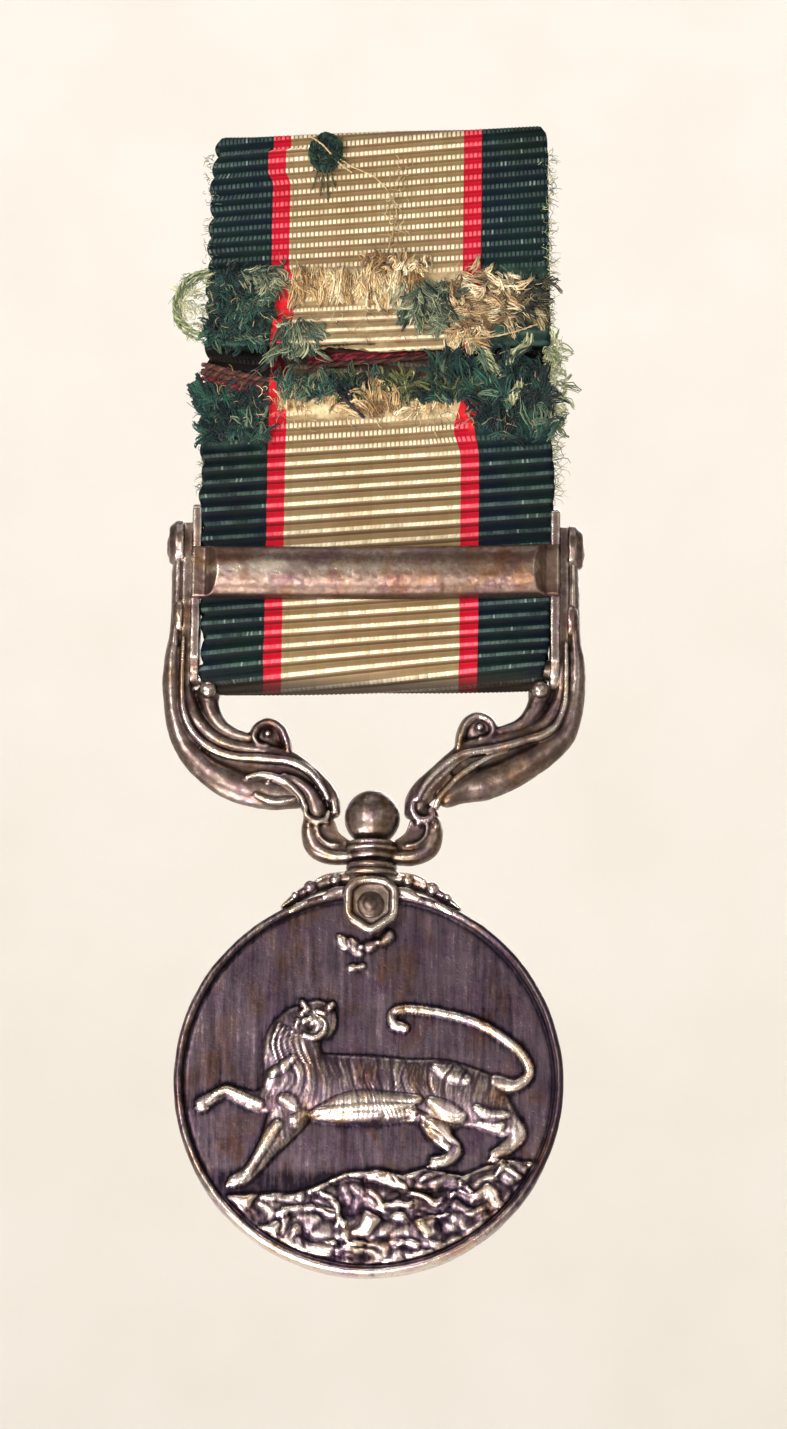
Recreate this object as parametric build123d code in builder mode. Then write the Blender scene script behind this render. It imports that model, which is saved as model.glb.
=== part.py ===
from build123d import *
import os
from math import cos, radians, sin, sqrt

os.makedirs("parts", exist_ok=True)

# A miniature service medal hanging from a folded ribbon, in millimetres. X is to the right, +Z up
# and -Y the front. The origin is the centre of the channel inside the ribbon's top fold. Heights of
# the metal pieces are measured up from the disc's centre, which is disc_drop below the origin.

# Disc
disc_drop = 45.9
disc_radius = 9.0
disc_thickness = 1.6
rim_width = 0.45
rim_bevel = 0.12
rim_slope = 0.1
field_sink = 0.28
relief_height = 0.2
relief_root = 0.05
ground_relief_height = 0.14
tail_width = 0.36
shore_left_drop = 5.0
shore_right_drop = 3.9
laurel_radius = 6.4
laurel_leaves = 36

# Claw and swivel
claw_plate_half_width = 1.3
claw_plate_thickness = 0.35
claw_top = 9.65
claw_plate_point = 6.8
claw_plate_shoulder = 7.65
claw_slot_clearance = 0.02
claw_rivet_height = 8.25
claw_rivet_radius = 0.3
claw_head_radius = 0.56
claw_head_depth = 0.2
shoulder_reach = 4.15
shoulder_half_depth = 0.62
pin_radius = 0.4
pin_running_clearance = 0.05
pin_seat = 0.08
ball_radius = 1.3
ball_height = 12.5
ball_clearance = 0.12
collar_radius = 1.32
collar_top = 10.3

# Suspender
suspender_half_depth = 0.7
boss_bottom = 10.35
boss_radius = 1.2
strap_inner = 8.7
strap_outer = 9.12
strap_top = 26.7
groove_width = 0.42
groove_depth = 0.2

# Side plates, rivets, ribbon bar and clasp
plate_thickness = 0.43
plate_half_depth = 1.0
plate_bottom = 18.72
plate_top = 27.6
bar_height = 19.5
bar_radius = 0.55
upper_rivet_height = 25.65
upper_head_radius = 1.12
upper_head_depth = 0.68
lower_rivet_height = 22.1
lower_head_radius = 0.9
lower_head_depth = 0.46
shank_radius = 0.28
shank_clearance = 0.02
clasp_height = 24.2
clasp_half_height = 1.27
clasp_depth = 0.95
clasp_body_half_length = 8.05
clasp_flange_thickness = 0.3
clasp_back = 1.0

# Ribbon
ribbon_half_width = 8.17
ribbon_thickness = 0.33
top_fold_radius = 0.42
bar_fold_radius = 0.785
fold_half_width = 7.1
upper_tail_end = 35.4
lower_tail_end = 34.2
straight_above_clasp = 27.0
flex_height = 34.8
flex_gap = 0.25
slant_drop = 1.4
corner_tuck = 1.4

# Threads
knot_x = -2.7
knot_height = 45.05
knot_half_width = 0.62
knot_half_height = 0.9
knot_depth = 0.5
knot_rounding = 0.2
binding_height = 35.12
binding_radius = 0.11
binding_half_length = 3.4

FRONT = Plane(origin=(0, 0, -disc_drop), x_dir=(1, 0, 0), z_dir=(0, -1, 0))
ACROSS = Plane(origin=(0, 0, -disc_drop), x_dir=(0, 1, 0), z_dir=(1, 0, 0))
LEVEL = Plane(origin=(0, 0, -disc_drop))
UPRIGHT = Axis((0, 0, -disc_drop), (0, 0, 1))
THROUGH_DISC = Axis((0, 0, -disc_drop), (0, 1, 0))

half_disc = disc_thickness / 2
field = half_disc - field_sink


def save(part, name):
    part.label = name
    export_step(part, f"parts/{name}.step")


# The disc is turned from its half section, rim and sunk fields, then carries low relief.
with BuildPart() as medal_disc:
    with BuildSketch(LEVEL):
        with BuildLine():
            Polyline(
                (0, -field),
                (disc_radius - rim_width - rim_slope, -field),
                (disc_radius - rim_width, -half_disc),
                (disc_radius - rim_bevel, -half_disc),
                (disc_radius, -half_disc + rim_bevel),
                (disc_radius, half_disc - rim_bevel),
                (disc_radius - rim_bevel, half_disc),
                (disc_radius - rim_width, half_disc),
                (disc_radius - rim_width - rim_slope, field),
                (0, field),
                (0, -field),
            )
        make_face()
    revolve(axis=THROUGH_DISC)
    # big cat striding to the left, with its ground below
    with BuildSketch(FRONT.offset(field - relief_root)):
        with BuildLine():
            Spline(
                (-3.5, 3.0), (-3.1, 3.8), (-2.0, 3.9), (-1.4, 3.0), (-0.4, 1.75), (1.6, 1.8),
                (3.6, 1.45), (5.6, 0.9), (6.4, -0.2), (6.6, -1.8), (7.0, -3.2), (6.2, -3.4),
                (5.0, -2.4), (3.9, -1.9), (3.6, -2.9), (2.6, -3.0), (2.2, -1.9), (1.4, -1.0),
                (-0.4, -1.1), (-2.2, -1.5), (-3.2, -2.2), (-4.6, -4.1), (-5.8, -4.4), (-4.9, -3.0),
                (-4.2, -1.2), (-5.2, -0.8), (-6.6, -0.6), (-7.6, -1.3), (-7.3, -0.5), (-6.2, 0.0),
                (-4.7, 0.0), (-4.3, 1.4), (-4.0, 2.4),
                periodic=True,
            )
        make_face()
    extrude(amount=relief_height + relief_root)
    with BuildSketch(FRONT.offset(field - relief_root)):
        with BuildLine() as tail_line:
            Spline((5.9, 0.3), (7.3, 1.0), (6.4, 2.3), (4.9, 2.95), (3.1, 3.35), (1.6, 3.5), (1.0, 2.9))
        trace(line_width=tail_width)
    extrude(amount=relief_height + relief_root)
    with BuildSketch(FRONT.offset(field - relief_root)):
        ground_radius = disc_radius - rim_width - 0.15
        with BuildLine():
            shore_left = (-sqrt(ground_radius**2 - shore_left_drop**2), -shore_left_drop)
            shore_right = (sqrt(ground_radius**2 - shore_right_drop**2), -shore_right_drop)
            Spline(shore_left, (-4.9, -5.3), (-3.0, -5.2), (-1.0, -4.6), (1.0, -4.1), (3.4, -4.0),
                   shore_right)
            ThreePointArc(shore_right, (0, -ground_radius), shore_left)
        make_face()
    extrude(amount=ground_relief_height + relief_root)
    # a plain laurel ring on the back
    with BuildSketch(FRONT.offset(-field - ground_relief_height)):
        with PolarLocations(laurel_radius, laurel_leaves):
            with Locations(Rotation(0, 0, 68)):
                Ellipse(0.72, 0.27)
    extrude(amount=ground_relief_height + relief_root)
    with BuildSketch(FRONT.offset(half_disc + 0.1)):
        with Locations((0, claw_rivet_height)):
            Circle(claw_rivet_radius + shank_clearance)
    extrude(amount=-(disc_thickness + 0.2), mode=Mode.SUBTRACT)
save(medal_disc.part, "medal_disc")

# The claw is a plate on each face, a bridge over the disc's edge and a leaf along each shoulder.
edge_radius = disc_radius + claw_slot_clearance
claw_outside = half_disc + claw_slot_clearance + claw_plate_thickness

with BuildPart() as claw:
    with BuildSketch(FRONT):
        with BuildLine():
            Polyline(
                (-claw_plate_half_width, claw_top),
                (claw_plate_half_width, claw_top),
                (claw_plate_half_width, claw_plate_shoulder),
                (0, claw_plate_point),
                (-claw_plate_half_width, claw_plate_shoulder),
                (-claw_plate_half_width, claw_top),
            )
        make_face()
    extrude(amount=claw_outside, both=True)
    with BuildSketch(FRONT):
        with BuildLine():
            tip = (shoulder_reach, sqrt(edge_radius**2 - shoulder_reach**2))
            Spline((0, 9.6), (1.9, 9.5), (2.9, 9.25), (3.7, 8.75), tip)
            Polyline(tip, (shoulder_reach - 1.0, 8.0), (0, 8.0), (0, 9.6))
        make_face()
        mirror(about=Plane.YZ)
    extrude(amount=shoulder_half_depth, both=True)
    # the slot for the disc
    with BuildSketch(FRONT):
        Circle(edge_radius)
    extrude(amount=half_disc + claw_slot_clearance, both=True, mode=Mode.SUBTRACT)
    # the swivel pin is set into the top, and the rivet goes through both plates
    with BuildSketch(LEVEL.offset(claw_top)):
        Circle(pin_radius)
    extrude(amount=-(claw_top - edge_radius - pin_seat), mode=Mode.SUBTRACT)
    with BuildSketch(FRONT.offset(claw_outside + 0.1)):
        with Locations((0, claw_rivet_height)):
            Circle(claw_rivet_radius + shank_clearance)
    extrude(amount=-2 * (claw_outside + 0.1), mode=Mode.SUBTRACT)
save(claw.part, "claw")

with BuildPart() as claw_rivet:
    with BuildSketch(FRONT.offset(-claw_outside)):
        with Locations((0, claw_rivet_height)):
            Circle(claw_rivet_radius)
    extrude(amount=2 * claw_outside)
    for side in (1, -1):
        with BuildSketch(FRONT.offset(side * claw_outside)):
            with Locations((0, claw_rivet_height)):
                Circle(claw_head_radius)
        extrude(amount=side * claw_head_depth, taper=30)
save(claw_rivet.part, "claw_rivet")

with BuildPart() as swivel_pin:
    with BuildSketch(LEVEL.offset(edge_radius + pin_seat)):
        Circle(pin_radius)
    extrude(amount=ball_height - edge_radius)
    with Locations((0, 0, -disc_drop + ball_height)):
        Sphere(ball_radius)
save(swivel_pin.part, "swivel_pin")

with BuildPart() as swivel_collar:
    with BuildSketch(FRONT):
        with BuildLine():
            Polyline(
                (pin_radius, claw_top),
                (collar_radius - 0.12, claw_top),
                (collar_radius, claw_top + 0.1),
                (collar_radius, claw_top + 0.24),
                (collar_radius - 0.22, claw_top + 0.34),
                (collar_radius - 0.12, claw_top + 0.44),
                (collar_radius - 0.12, claw_top + 0.56),
                (collar_radius - 0.22, collar_top),
                (pin_radius, collar_top),
                (pin_radius, claw_top),
            )
        make_face()
    revolve(axis=UPRIGHT)
save(swivel_collar.part, "swivel_collar")

# Suspender: one half of its outline, mirrored, with a ringed boss for the swivel pin.
socket_radius = ball_radius + ball_clearance
socket_start = (socket_radius * cos(radians(36)), ball_height + socket_radius * sin(radians(36)))
socket_middle = (socket_radius * cos(radians(-12)), ball_height - socket_radius * sin(radians(12)))
socket_end_x = 0.55
socket_end = (socket_end_x, ball_height - sqrt(socket_radius**2 - socket_end_x**2))
curl = (7.86, 18.2)
curl_radius = 0.46
volute = (5.0, 16.5)
volute_radius = 0.92

with BuildPart() as suspender:
    with BuildSketch(FRONT):
        with BuildLine():
            Polyline((0, socket_end[1]), (0, boss_bottom), (1.5, boss_bottom))
            Spline((1.5, boss_bottom), (2.3, 10.6), (3.0, 11.1), (3.35, 11.8), (3.42, 12.55), (3.9, 12.72))
            Spline((3.9, 12.72), (5.2, 12.95), (7.1, 13.5), (8.1, 14.1), (8.85, 15.0), (9.45, 16.1),
                   (9.85, 17.3), (10.02, 18.6), (10.0, 20.3))
            Polyline((10.0, 20.3), (strap_outer, 21.1), (strap_outer, strap_top), (strap_inner, strap_top),
                     (strap_inner, 18.62), (8.2, 18.62))
            Line((8.2, 18.62), (8.1, 17.5))
            Spline((8.1, 17.5), (7.3, 17.3), (6.5, 16.75), (5.9, 16.5))
            Spline((5.9, 16.5), (5.0, 16.7), (4.1, 16.4))
            Spline((4.1, 16.4), (3.9, 15.5), (3.2, 15.35), (2.5, 14.85), (1.85, 14.15), socket_start)
            ThreePointArc(socket_start, socket_middle, socket_end)
            Line(socket_end, (0, socket_end[1]))
        make_face()
        with Locations(curl):
            Circle(curl_radius)
        with Locations((7.6, 17.65)):
            Circle(0.55)
        with Locations(volute):
            Circle(volute_radius)
        mirror(about=Plane.YZ)
    extrude(amount=suspender_half_depth, both=True)
    with BuildSketch(LEVEL.offset(boss_bottom)):
        Circle(boss_radius)
    extrude(amount=socket_end[1] - boss_bottom)
    # the channel that runs along each arm, on both faces
    for side in (1, -1):
        with BuildSketch(FRONT.offset(side * suspender_half_depth)):
            with BuildLine():
                Spline((9.3, 20.2), (9.25, 18.2), (8.9, 17.0), (8.1, 15.85), (6.9, 15.0), (5.6, 14.85),
                       (4.2, 14.9), (3.2, 14.35), (2.55, 13.5))
            trace(line_width=groove_width)
            mirror(about=Plane.YZ)
        extrude(amount=-side * groove_depth, mode=Mode.SUBTRACT)
    with BuildSketch(LEVEL.offset(boss_bottom - 0.1)):
        Circle(pin_radius + pin_running_clearance)
    extrude(amount=2.0, mode=Mode.SUBTRACT)
    with BuildSketch(ACROSS.offset(-strap_outer - 0.5)):
        with Locations((0, upper_rivet_height), (0, lower_rivet_height)):
            Circle(shank_radius + shank_clearance)
    extrude(amount=2 * strap_outer + 1.0, mode=Mode.SUBTRACT)
save(suspender.part, "suspender")


def side_plate(side, name):
    inner = side * (strap_inner - plate_thickness)
    with BuildPart() as plate:
        with BuildSketch(ACROSS.offset(inner)):
            with BuildLine():
                reach = bar_height - plate_bottom
                Polyline((-reach, bar_height), (-plate_half_depth, bar_height + 0.5),
                         (-plate_half_depth, plate_top - 0.35))
                ThreePointArc((-plate_half_depth, plate_top - 0.35), (0, plate_top),
                              (plate_half_depth, plate_top - 0.35))
                Polyline((plate_half_depth, plate_top - 0.35), (plate_half_depth, bar_height + 0.5),
                         (reach, bar_height))
                ThreePointArc((reach, bar_height), (0, plate_bottom), (-reach, bar_height))
            make_face()
            with Locations((0, upper_rivet_height), (0, lower_rivet_height)):
                Circle(shank_radius + shank_clearance, mode=Mode.SUBTRACT)
            with Locations((0, bar_height)):
                Circle(bar_radius, mode=Mode.SUBTRACT)
        extrude(amount=side * plate_thickness)
    save(plate.part, name)


side_plate(-1, "side_plate_left")
side_plate(1, "side_plate_right")

with BuildPart() as ribbon_bar:
    with BuildSketch(ACROSS):
        with Locations((0, bar_height)):
            Circle(bar_radius)
    extrude(amount=strap_inner - 0.02, both=True)
save(ribbon_bar.part, "ribbon_bar")


def rivet_pair(height, head_radius, head_depth, name):
    with BuildPart() as rivets:
        for side in (1, -1):
            with BuildSketch(ACROSS.offset(side * (strap_inner - plate_thickness + 0.02))):
                with Locations((0, height)):
                    Circle(shank_radius)
            extrude(amount=side * (strap_outer - strap_inner + plate_thickness))
            with BuildSketch(ACROSS.offset(side * strap_outer)):
                with Locations((0, height)):
                    Circle(head_radius)
            extrude(amount=side * head_depth * 0.5)
            with BuildSketch(ACROSS.offset(side * (strap_outer + head_depth * 0.5))):
                with Locations((0, height)):
                    Circle(head_radius)
            extrude(amount=side * head_depth * 0.5, taper=40)
    save(rivets.part, name)


rivet_pair(upper_rivet_height, upper_head_radius, upper_head_depth, "upper_rivets")
rivet_pair(lower_rivet_height, lower_head_radius, lower_head_depth, "lower_rivets")

# Clasp: a half-round body with bevelled ends on a thin flange that reaches over the side plates.
with BuildPart() as clasp_bar:
    with BuildSketch(ACROSS):
        with BuildLine():
            back = -clasp_back - clasp_flange_thickness
            low = clasp_height - clasp_half_height
            high = clasp_height + clasp_half_height
            crown = -clasp_back - clasp_depth
            ThreePointArc((back, low), (crown, clasp_height), (back, high))
            Line((back, high), (back, low))
        make_face()
    extrude(amount=clasp_body_half_length, both=True)
    for side in (1, -1):
        with BuildSketch(LEVEL.offset(clasp_height - clasp_half_height - 0.1)):
            with BuildLine():
                slope = clasp_depth - clasp_flange_thickness
                Polyline(
                    (side * clasp_body_half_length, back),
                    (side * (clasp_body_half_length - slope), back - slope),
                    (side * (clasp_body_half_length - slope), back - slope - 0.2),
                    (side * (clasp_body_half_length + 0.1), back - slope - 0.2),
                    (side * (clasp_body_half_length + 0.1), back),
                    (side * clasp_body_half_length, back),
                )
            make_face()
        extrude(amount=2 * clasp_half_height + 0.2, mode=Mode.SUBTRACT)
    with BuildSketch(FRONT.offset(clasp_back)):
        with Locations((0, clasp_height)):
            RectangleRounded(2 * strap_inner, 2 * clasp_half_height, 0.15)
    extrude(amount=clasp_flange_thickness)
save(clasp_bar.part, "clasp_bar")

# Ribbon: two stretches of one woven strip, parted at the worn gap where the loop flexes. Its paths
# are drawn in the YZ plane, and its bottom corners are tucked in round the bar.
flex_y = top_fold_radius
bend = 5.0

with BuildPart() as ribbon_upper:
    with BuildSketch(ACROSS):
        with BuildLine():
            Line((-top_fold_radius, upper_tail_end), (-top_fold_radius, disc_drop))
            CenterArc((0, disc_drop), top_fold_radius, 180, -180)
            Line((top_fold_radius, disc_drop), (flex_y, flex_height + flex_gap))
        trace(line_width=ribbon_thickness)
    extrude(amount=ribbon_half_width, both=True)
save(ribbon_upper.part, "ribbon_upper")

with BuildPart() as ribbon_lower:
    with BuildSketch(ACROSS):
        with BuildLine():
            FilletPolyline(
                (-top_fold_radius, lower_tail_end),
                (-top_fold_radius, lower_tail_end - slant_drop),
                (-bar_fold_radius, straight_above_clasp),
                (-bar_fold_radius, bar_height),
                radius=bend,
            )
            CenterArc((0, bar_height), bar_fold_radius, 180, 180)
            FilletPolyline(
                (bar_fold_radius, bar_height),
                (bar_fold_radius, straight_above_clasp),
                (flex_y, lower_tail_end - slant_drop),
                (flex_y, flex_height),
                radius=bend,
            )
        trace(line_width=ribbon_thickness)
        with Locations((flex_y, flex_height)):
            Circle(ribbon_thickness / 2)
    extrude(amount=ribbon_half_width, both=True)
    for side in (1, -1):
        with BuildSketch(FRONT.offset(2.0)):
            with BuildLine():
                Polyline(
                    (side * (ribbon_half_width + 0.5), bar_height + corner_tuck),
                    (side * (ribbon_half_width + 0.01), bar_height + corner_tuck),
                    (side * fold_half_width, bar_height - 0.2),
                    (side * fold_half_width, bar_height - 2.0),
                    (side * (ribbon_half_width + 0.5), bar_height - 2.0),
                    (side * (ribbon_half_width + 0.5), bar_height + corner_tuck),
                )
            make_face()
        extrude(amount=-4.0, mode=Mode.SUBTRACT)
save(ribbon_lower.part, "ribbon_lower")

# Threads: a rolled maroon thread in the gap, and a dark knot standing on the front near the top.
with BuildPart() as binding_thread:
    with BuildSketch(ACROSS):
        with Locations((flex_y - ribbon_thickness / 2 - binding_radius - 0.01, binding_height)):
            Circle(binding_radius)
    extrude(amount=binding_half_length, both=True)
save(binding_thread.part, "binding_thread")

with BuildPart() as knot_thread:
    with BuildSketch(FRONT.offset(top_fold_radius + ribbon_thickness / 2)):
        with Locations((knot_x, knot_height)):
            Ellipse(knot_half_width, knot_half_height)
    extrude(amount=knot_depth)
    fillet(knot_thread.faces().sort_by(Axis.Y)[0].edges(), radius=knot_rounding)
save(knot_thread.part, "knot_thread")
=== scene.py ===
from math import cos, pi, radians, sin, tan

import bpy
import numpy as np
from mathutils import Matrix, Vector


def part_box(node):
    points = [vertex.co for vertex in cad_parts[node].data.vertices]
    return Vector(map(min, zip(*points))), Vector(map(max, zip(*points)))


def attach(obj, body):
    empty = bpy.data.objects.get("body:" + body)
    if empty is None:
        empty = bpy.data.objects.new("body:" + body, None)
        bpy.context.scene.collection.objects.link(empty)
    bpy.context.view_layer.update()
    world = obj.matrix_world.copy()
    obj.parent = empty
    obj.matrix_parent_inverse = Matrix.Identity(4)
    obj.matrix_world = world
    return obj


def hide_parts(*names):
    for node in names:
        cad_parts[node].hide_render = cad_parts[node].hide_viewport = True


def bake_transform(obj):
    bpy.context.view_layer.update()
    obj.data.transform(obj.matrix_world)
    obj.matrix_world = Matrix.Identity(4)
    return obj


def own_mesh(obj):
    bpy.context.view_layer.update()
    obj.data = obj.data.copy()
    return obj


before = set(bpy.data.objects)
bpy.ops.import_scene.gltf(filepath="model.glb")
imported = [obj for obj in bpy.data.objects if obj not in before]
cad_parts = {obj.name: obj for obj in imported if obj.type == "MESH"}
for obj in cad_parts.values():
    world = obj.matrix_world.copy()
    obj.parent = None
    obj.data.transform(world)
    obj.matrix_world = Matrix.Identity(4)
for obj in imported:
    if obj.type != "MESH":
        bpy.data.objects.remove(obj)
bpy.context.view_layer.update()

# A miniature service medal on a worn ribbon. Everything below is drawn in millimetres, with X to the
# right, Y to the back and heights measured up from the disc's centre. finish_piece() moves it into the
# frame, in metres.

MM = 0.001
ALONG_Y = np.array([0.0, 1.0, 0.0])


def node_box(node):
    low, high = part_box(node)
    return np.array(low) / MM, np.array(high) / MM


strap_outside = 9.12    # x of the suspender straps' outer faces
disc_low, disc_high = node_box("medal_disc")
disc_height = (disc_low[2] + disc_high[2]) / 2
disc_radius = (disc_high[2] - disc_low[2]) / 2
half_disc = disc_high[1]


def local_box(node):
    low, high = node_box(node)
    low[2] -= disc_height
    high[2] -= disc_height
    return low, high


# ---------------------------------------------------------------- camera, stage and lights

def to_row(point):
    return Vector((point[0] * MM, point[1] * MM, (point[2] + disc_height) * MM))


def look_at(obj, place, target, roll=0.0):
    aim = (target - place).to_track_quat("-Z", "Y").to_matrix().to_4x4()
    obj.matrix_world = Matrix.Translation(place) @ aim @ Matrix.Rotation(roll, 4, "Z")


def make_camera():
    """The photo's view: from 13 degrees below the face's normal, and turned a little."""
    distance = 220.0
    below = radians(13.0)
    aim = (0.93, 0.0, 17.51)
    place = (aim[0], -distance * cos(below), aim[2] - distance * sin(below))
    data = bpy.data.cameras.new("camera")
    data.sensor_width = 36.0
    data.lens = 117.6
    data.clip_start = 0.01
    data.clip_end = 20.0
    camera = bpy.data.objects.new("camera", data)
    bpy.context.scene.collection.objects.link(camera)
    look_at(camera, to_row(place), to_row(aim), roll=radians(0.75))
    bpy.context.scene.camera = camera


def area_light(name, place, target, size, watts, colour=(1.0, 1.0, 1.0)):
    data = bpy.data.lights.new(name, "AREA")
    data.shape = "RECTANGLE"
    data.size, data.size_y = size
    data.energy = watts
    data.color = colour
    lamp = bpy.data.objects.new(name, data)
    bpy.context.scene.collection.objects.link(lamp)
    look_at(lamp, Vector(place), Vector(target))


def srgb(red, green, blue):
    """A linear colour from the usual 0 to 255 steps."""
    steps = (red, green, blue)
    return tuple(((c / 255 + 0.055) / 1.055) ** 2.4 if c > 10 else c / 255 / 12.92 for c in steps)


def make_stage(material):
    """A round pale floor that curves up into a wall, far from the medal on every side."""
    floor, radius, bend, top, sides = -0.32, 1.15, 0.45, 1.3, 96
    outline = [(0.001, floor), (0.3, floor), (radius - bend, floor)]
    outline += [(radius - bend + bend * sin(a), floor + bend - bend * cos(a))
                for a in np.linspace(0.1, pi / 2, 14)]
    outline += [(radius, floor + bend + 0.3), (radius, top)]
    turns = np.linspace(0, 2 * pi, sides, endpoint=False)
    points = [(r * cos(a), r * sin(a), z) for r, z in outline for a in turns]
    faces = grid_faces(len(outline), sides).tolist() + [tuple(range(sides))]
    mesh = bpy.data.meshes.new("studio_floor")
    mesh.from_pydata(points, [], faces)
    mesh.shade_smooth()
    mesh.materials.append(material)
    floor_piece = bpy.data.objects.new("studio_floor", mesh)
    bpy.context.scene.collection.objects.link(floor_piece)


def make_lights():
    world = bpy.data.worlds.new("studio")
    world.use_nodes = True
    world.node_tree.nodes["Background"].inputs["Color"].default_value = (*srgb(214, 206, 210), 1.0)
    world.node_tree.nodes["Background"].inputs["Strength"].default_value = 0.05
    bpy.context.scene.world = world
    middle = (0.0, 0.0, -0.03)
    # small warm lamps beside and under the camera, then soft ones all round
    area_light("key", (-0.115, -0.195, -0.032), middle, (0.045, 0.08), 0.36, (1.0, 0.97, 0.93))
    area_light("flash", (-0.020, -0.205, -0.095), middle, (0.035, 0.03), 0.19, (1.0, 0.97, 0.94))
    area_light("fill", (0.17, -0.28, 0.03), middle, (0.16, 0.20), 0.12, (0.96, 0.97, 1.0))
    area_light("top", (-0.05, -0.02, 0.40), middle, (0.35, 0.30), 0.42)
    area_light("bounce", (-0.075, -0.08, -0.21), middle, (0.18, 0.05), 0.66, (1.0, 0.96, 0.90))
    area_light("back", (0.10, 0.30, 0.16), middle, (0.20, 0.20), 0.55)
    # the last two light the wall behind the medal and the wall in front, which the silver mirrors
    area_light("wash", (0.0, 0.30, 0.60), (0.0, 1.15, 0.25), (0.9, 0.4), 6.75, (0.95, 0.955, 1.0))
    area_light("front_wash", (0.0, -0.30, 0.85), (0.0, -1.1, 0.0), (0.8, 0.5), 0.8)


# ---------------------------------------------------------------- shader helpers

class Shader:
    """A material's node tree, built call by call: a value that is a socket is linked, any other is set."""

    def __init__(self, name):
        self.material = bpy.data.materials.new(name)
        self.material.use_nodes = True
        self.tree = self.material.node_tree
        self.tree.nodes.clear()

    def node(self, kind, inputs=(), **settings):
        """Adds a node with its inputs and settings."""
        made = self.tree.nodes.new("ShaderNode" + kind)
        for key, value in settings.items():
            setattr(made, key, value)
        for key, value in dict(inputs).items():
            if isinstance(value, bpy.types.NodeSocket):
                self.tree.links.new(value, made.inputs[key])
            else:
                made.inputs[key].default_value = value
        return made

    def math(self, operation, a, b=0.0, c=0.0, clamp=False):
        return self.node("Math", {0: a, 1: b, 2: c}, operation=operation, use_clamp=clamp).outputs[0]

    def times(self, a, b):
        return self.math("MULTIPLY", a, b)

    def plus(self, a, b, clamp=False):
        return self.math("ADD", a, b, clamp=clamp)

    def minus(self, a, b):
        return self.math("SUBTRACT", a, b)

    def above(self, a, b):
        return self.math("GREATER_THAN", a, b)

    def between(self, value, low, high):
        return self.minus(self.above(value, low), self.above(value, high))

    def swayed(self, value, noise, amount, clamp=False):
        """The value moved up and down by a noise whose middle is 0.5."""
        return self.plus(value, self.times(self.minus(noise, 0.5), amount), clamp)

    def mix(self, factor, a, b, blend="MIX"):
        made = self.node("Mix", {"Factor": factor}, data_type="RGBA", blend_type=blend, clamp_factor=True)
        for socket, value in zip([s for s in made.inputs if s.type == "RGBA"], (a, b)):
            if isinstance(value, bpy.types.NodeSocket):
                self.tree.links.new(value, socket)
            else:
                socket.default_value = (*value[:3], 1.0)
        return [s for s in made.outputs if s.type == "RGBA"][0]

    def stained(self, factor, colour, stain):
        """The colour multiplied by a stain, as far as factor goes."""
        return self.mix(factor, colour, self.mix(1.0, colour, srgb(*stain), "MULTIPLY"))

    def ramp(self, value, stops):
        made = self.node("ValToRGB", {"Fac": value})
        while len(made.color_ramp.elements) < len(stops):
            made.color_ramp.elements.new(0.5)
        for element, (place, colour) in zip(made.color_ramp.elements, stops):
            element.position = place
            element.color = (*colour[:3], 1.0)
        return made.outputs["Color"]

    def remap(self, value, low, high, to_low=0.0, to_high=1.0, smooth=False):
        kind = "SMOOTHSTEP" if smooth else "LINEAR"
        inputs = {"Value": value, "From Min": low, "From Max": high, "To Min": to_low, "To Max": to_high}
        return self.node("MapRange", inputs, interpolation_type=kind).outputs["Result"]

    def attribute(self, name, output="Fac"):
        return self.node("Attribute", attribute_name=name).outputs[output]

    def millimetres(self, stretch=(1.0, 1.0, 1.0)):
        """Where the point is on the piece, in millimetres, with each axis stretched."""
        where = self.node("TexCoord").outputs["Object"]
        scale = tuple(s / MM for s in stretch)
        return self.node("Mapping", {"Vector": where, "Scale": scale}, vector_type="POINT").outputs["Vector"]

    def noise(self, where, scale, detail=3.0, roughness=0.55, distortion=0.0):
        inputs = {"Vector": where, "Scale": scale, "Detail": detail, "Roughness": roughness}
        return self.node("TexNoise", {**inputs, "Distortion": distortion}).outputs["Fac"]

    def chance(self, index, dimensions="1D"):
        """A number from 0 to 1 that differs from one index to the next."""
        socket = "W" if dimensions == "1D" else "Vector"
        return self.node("TexWhiteNoise", {socket: index}, noise_dimensions=dimensions).outputs["Value"]

    def bump(self, height, strength, depth, normal=None):
        inputs = {"Height": height, "Strength": strength, "Distance": depth * MM}
        if normal is not None:
            inputs["Normal"] = normal
        return self.node("Bump", inputs).outputs["Normal"]

    def finish(self, inputs):
        surface = self.node("BsdfPrincipled", inputs)
        self.node("OutputMaterial", {"Surface": surface.outputs["BSDF"]})
        return self.material


def pale_floor():
    s = Shader("studio_floor")
    grain = s.noise(s.millimetres((0.02, 0.02, 0.02)), 1.0, 2.0)
    colour = s.mix(s.remap(grain, 0.3, 0.7), srgb(243, 237, 226), srgb(247, 242, 232))
    return s.finish({"Base Color": colour, "Roughness": 0.9, "Specular IOR Level": 0.1})


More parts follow.
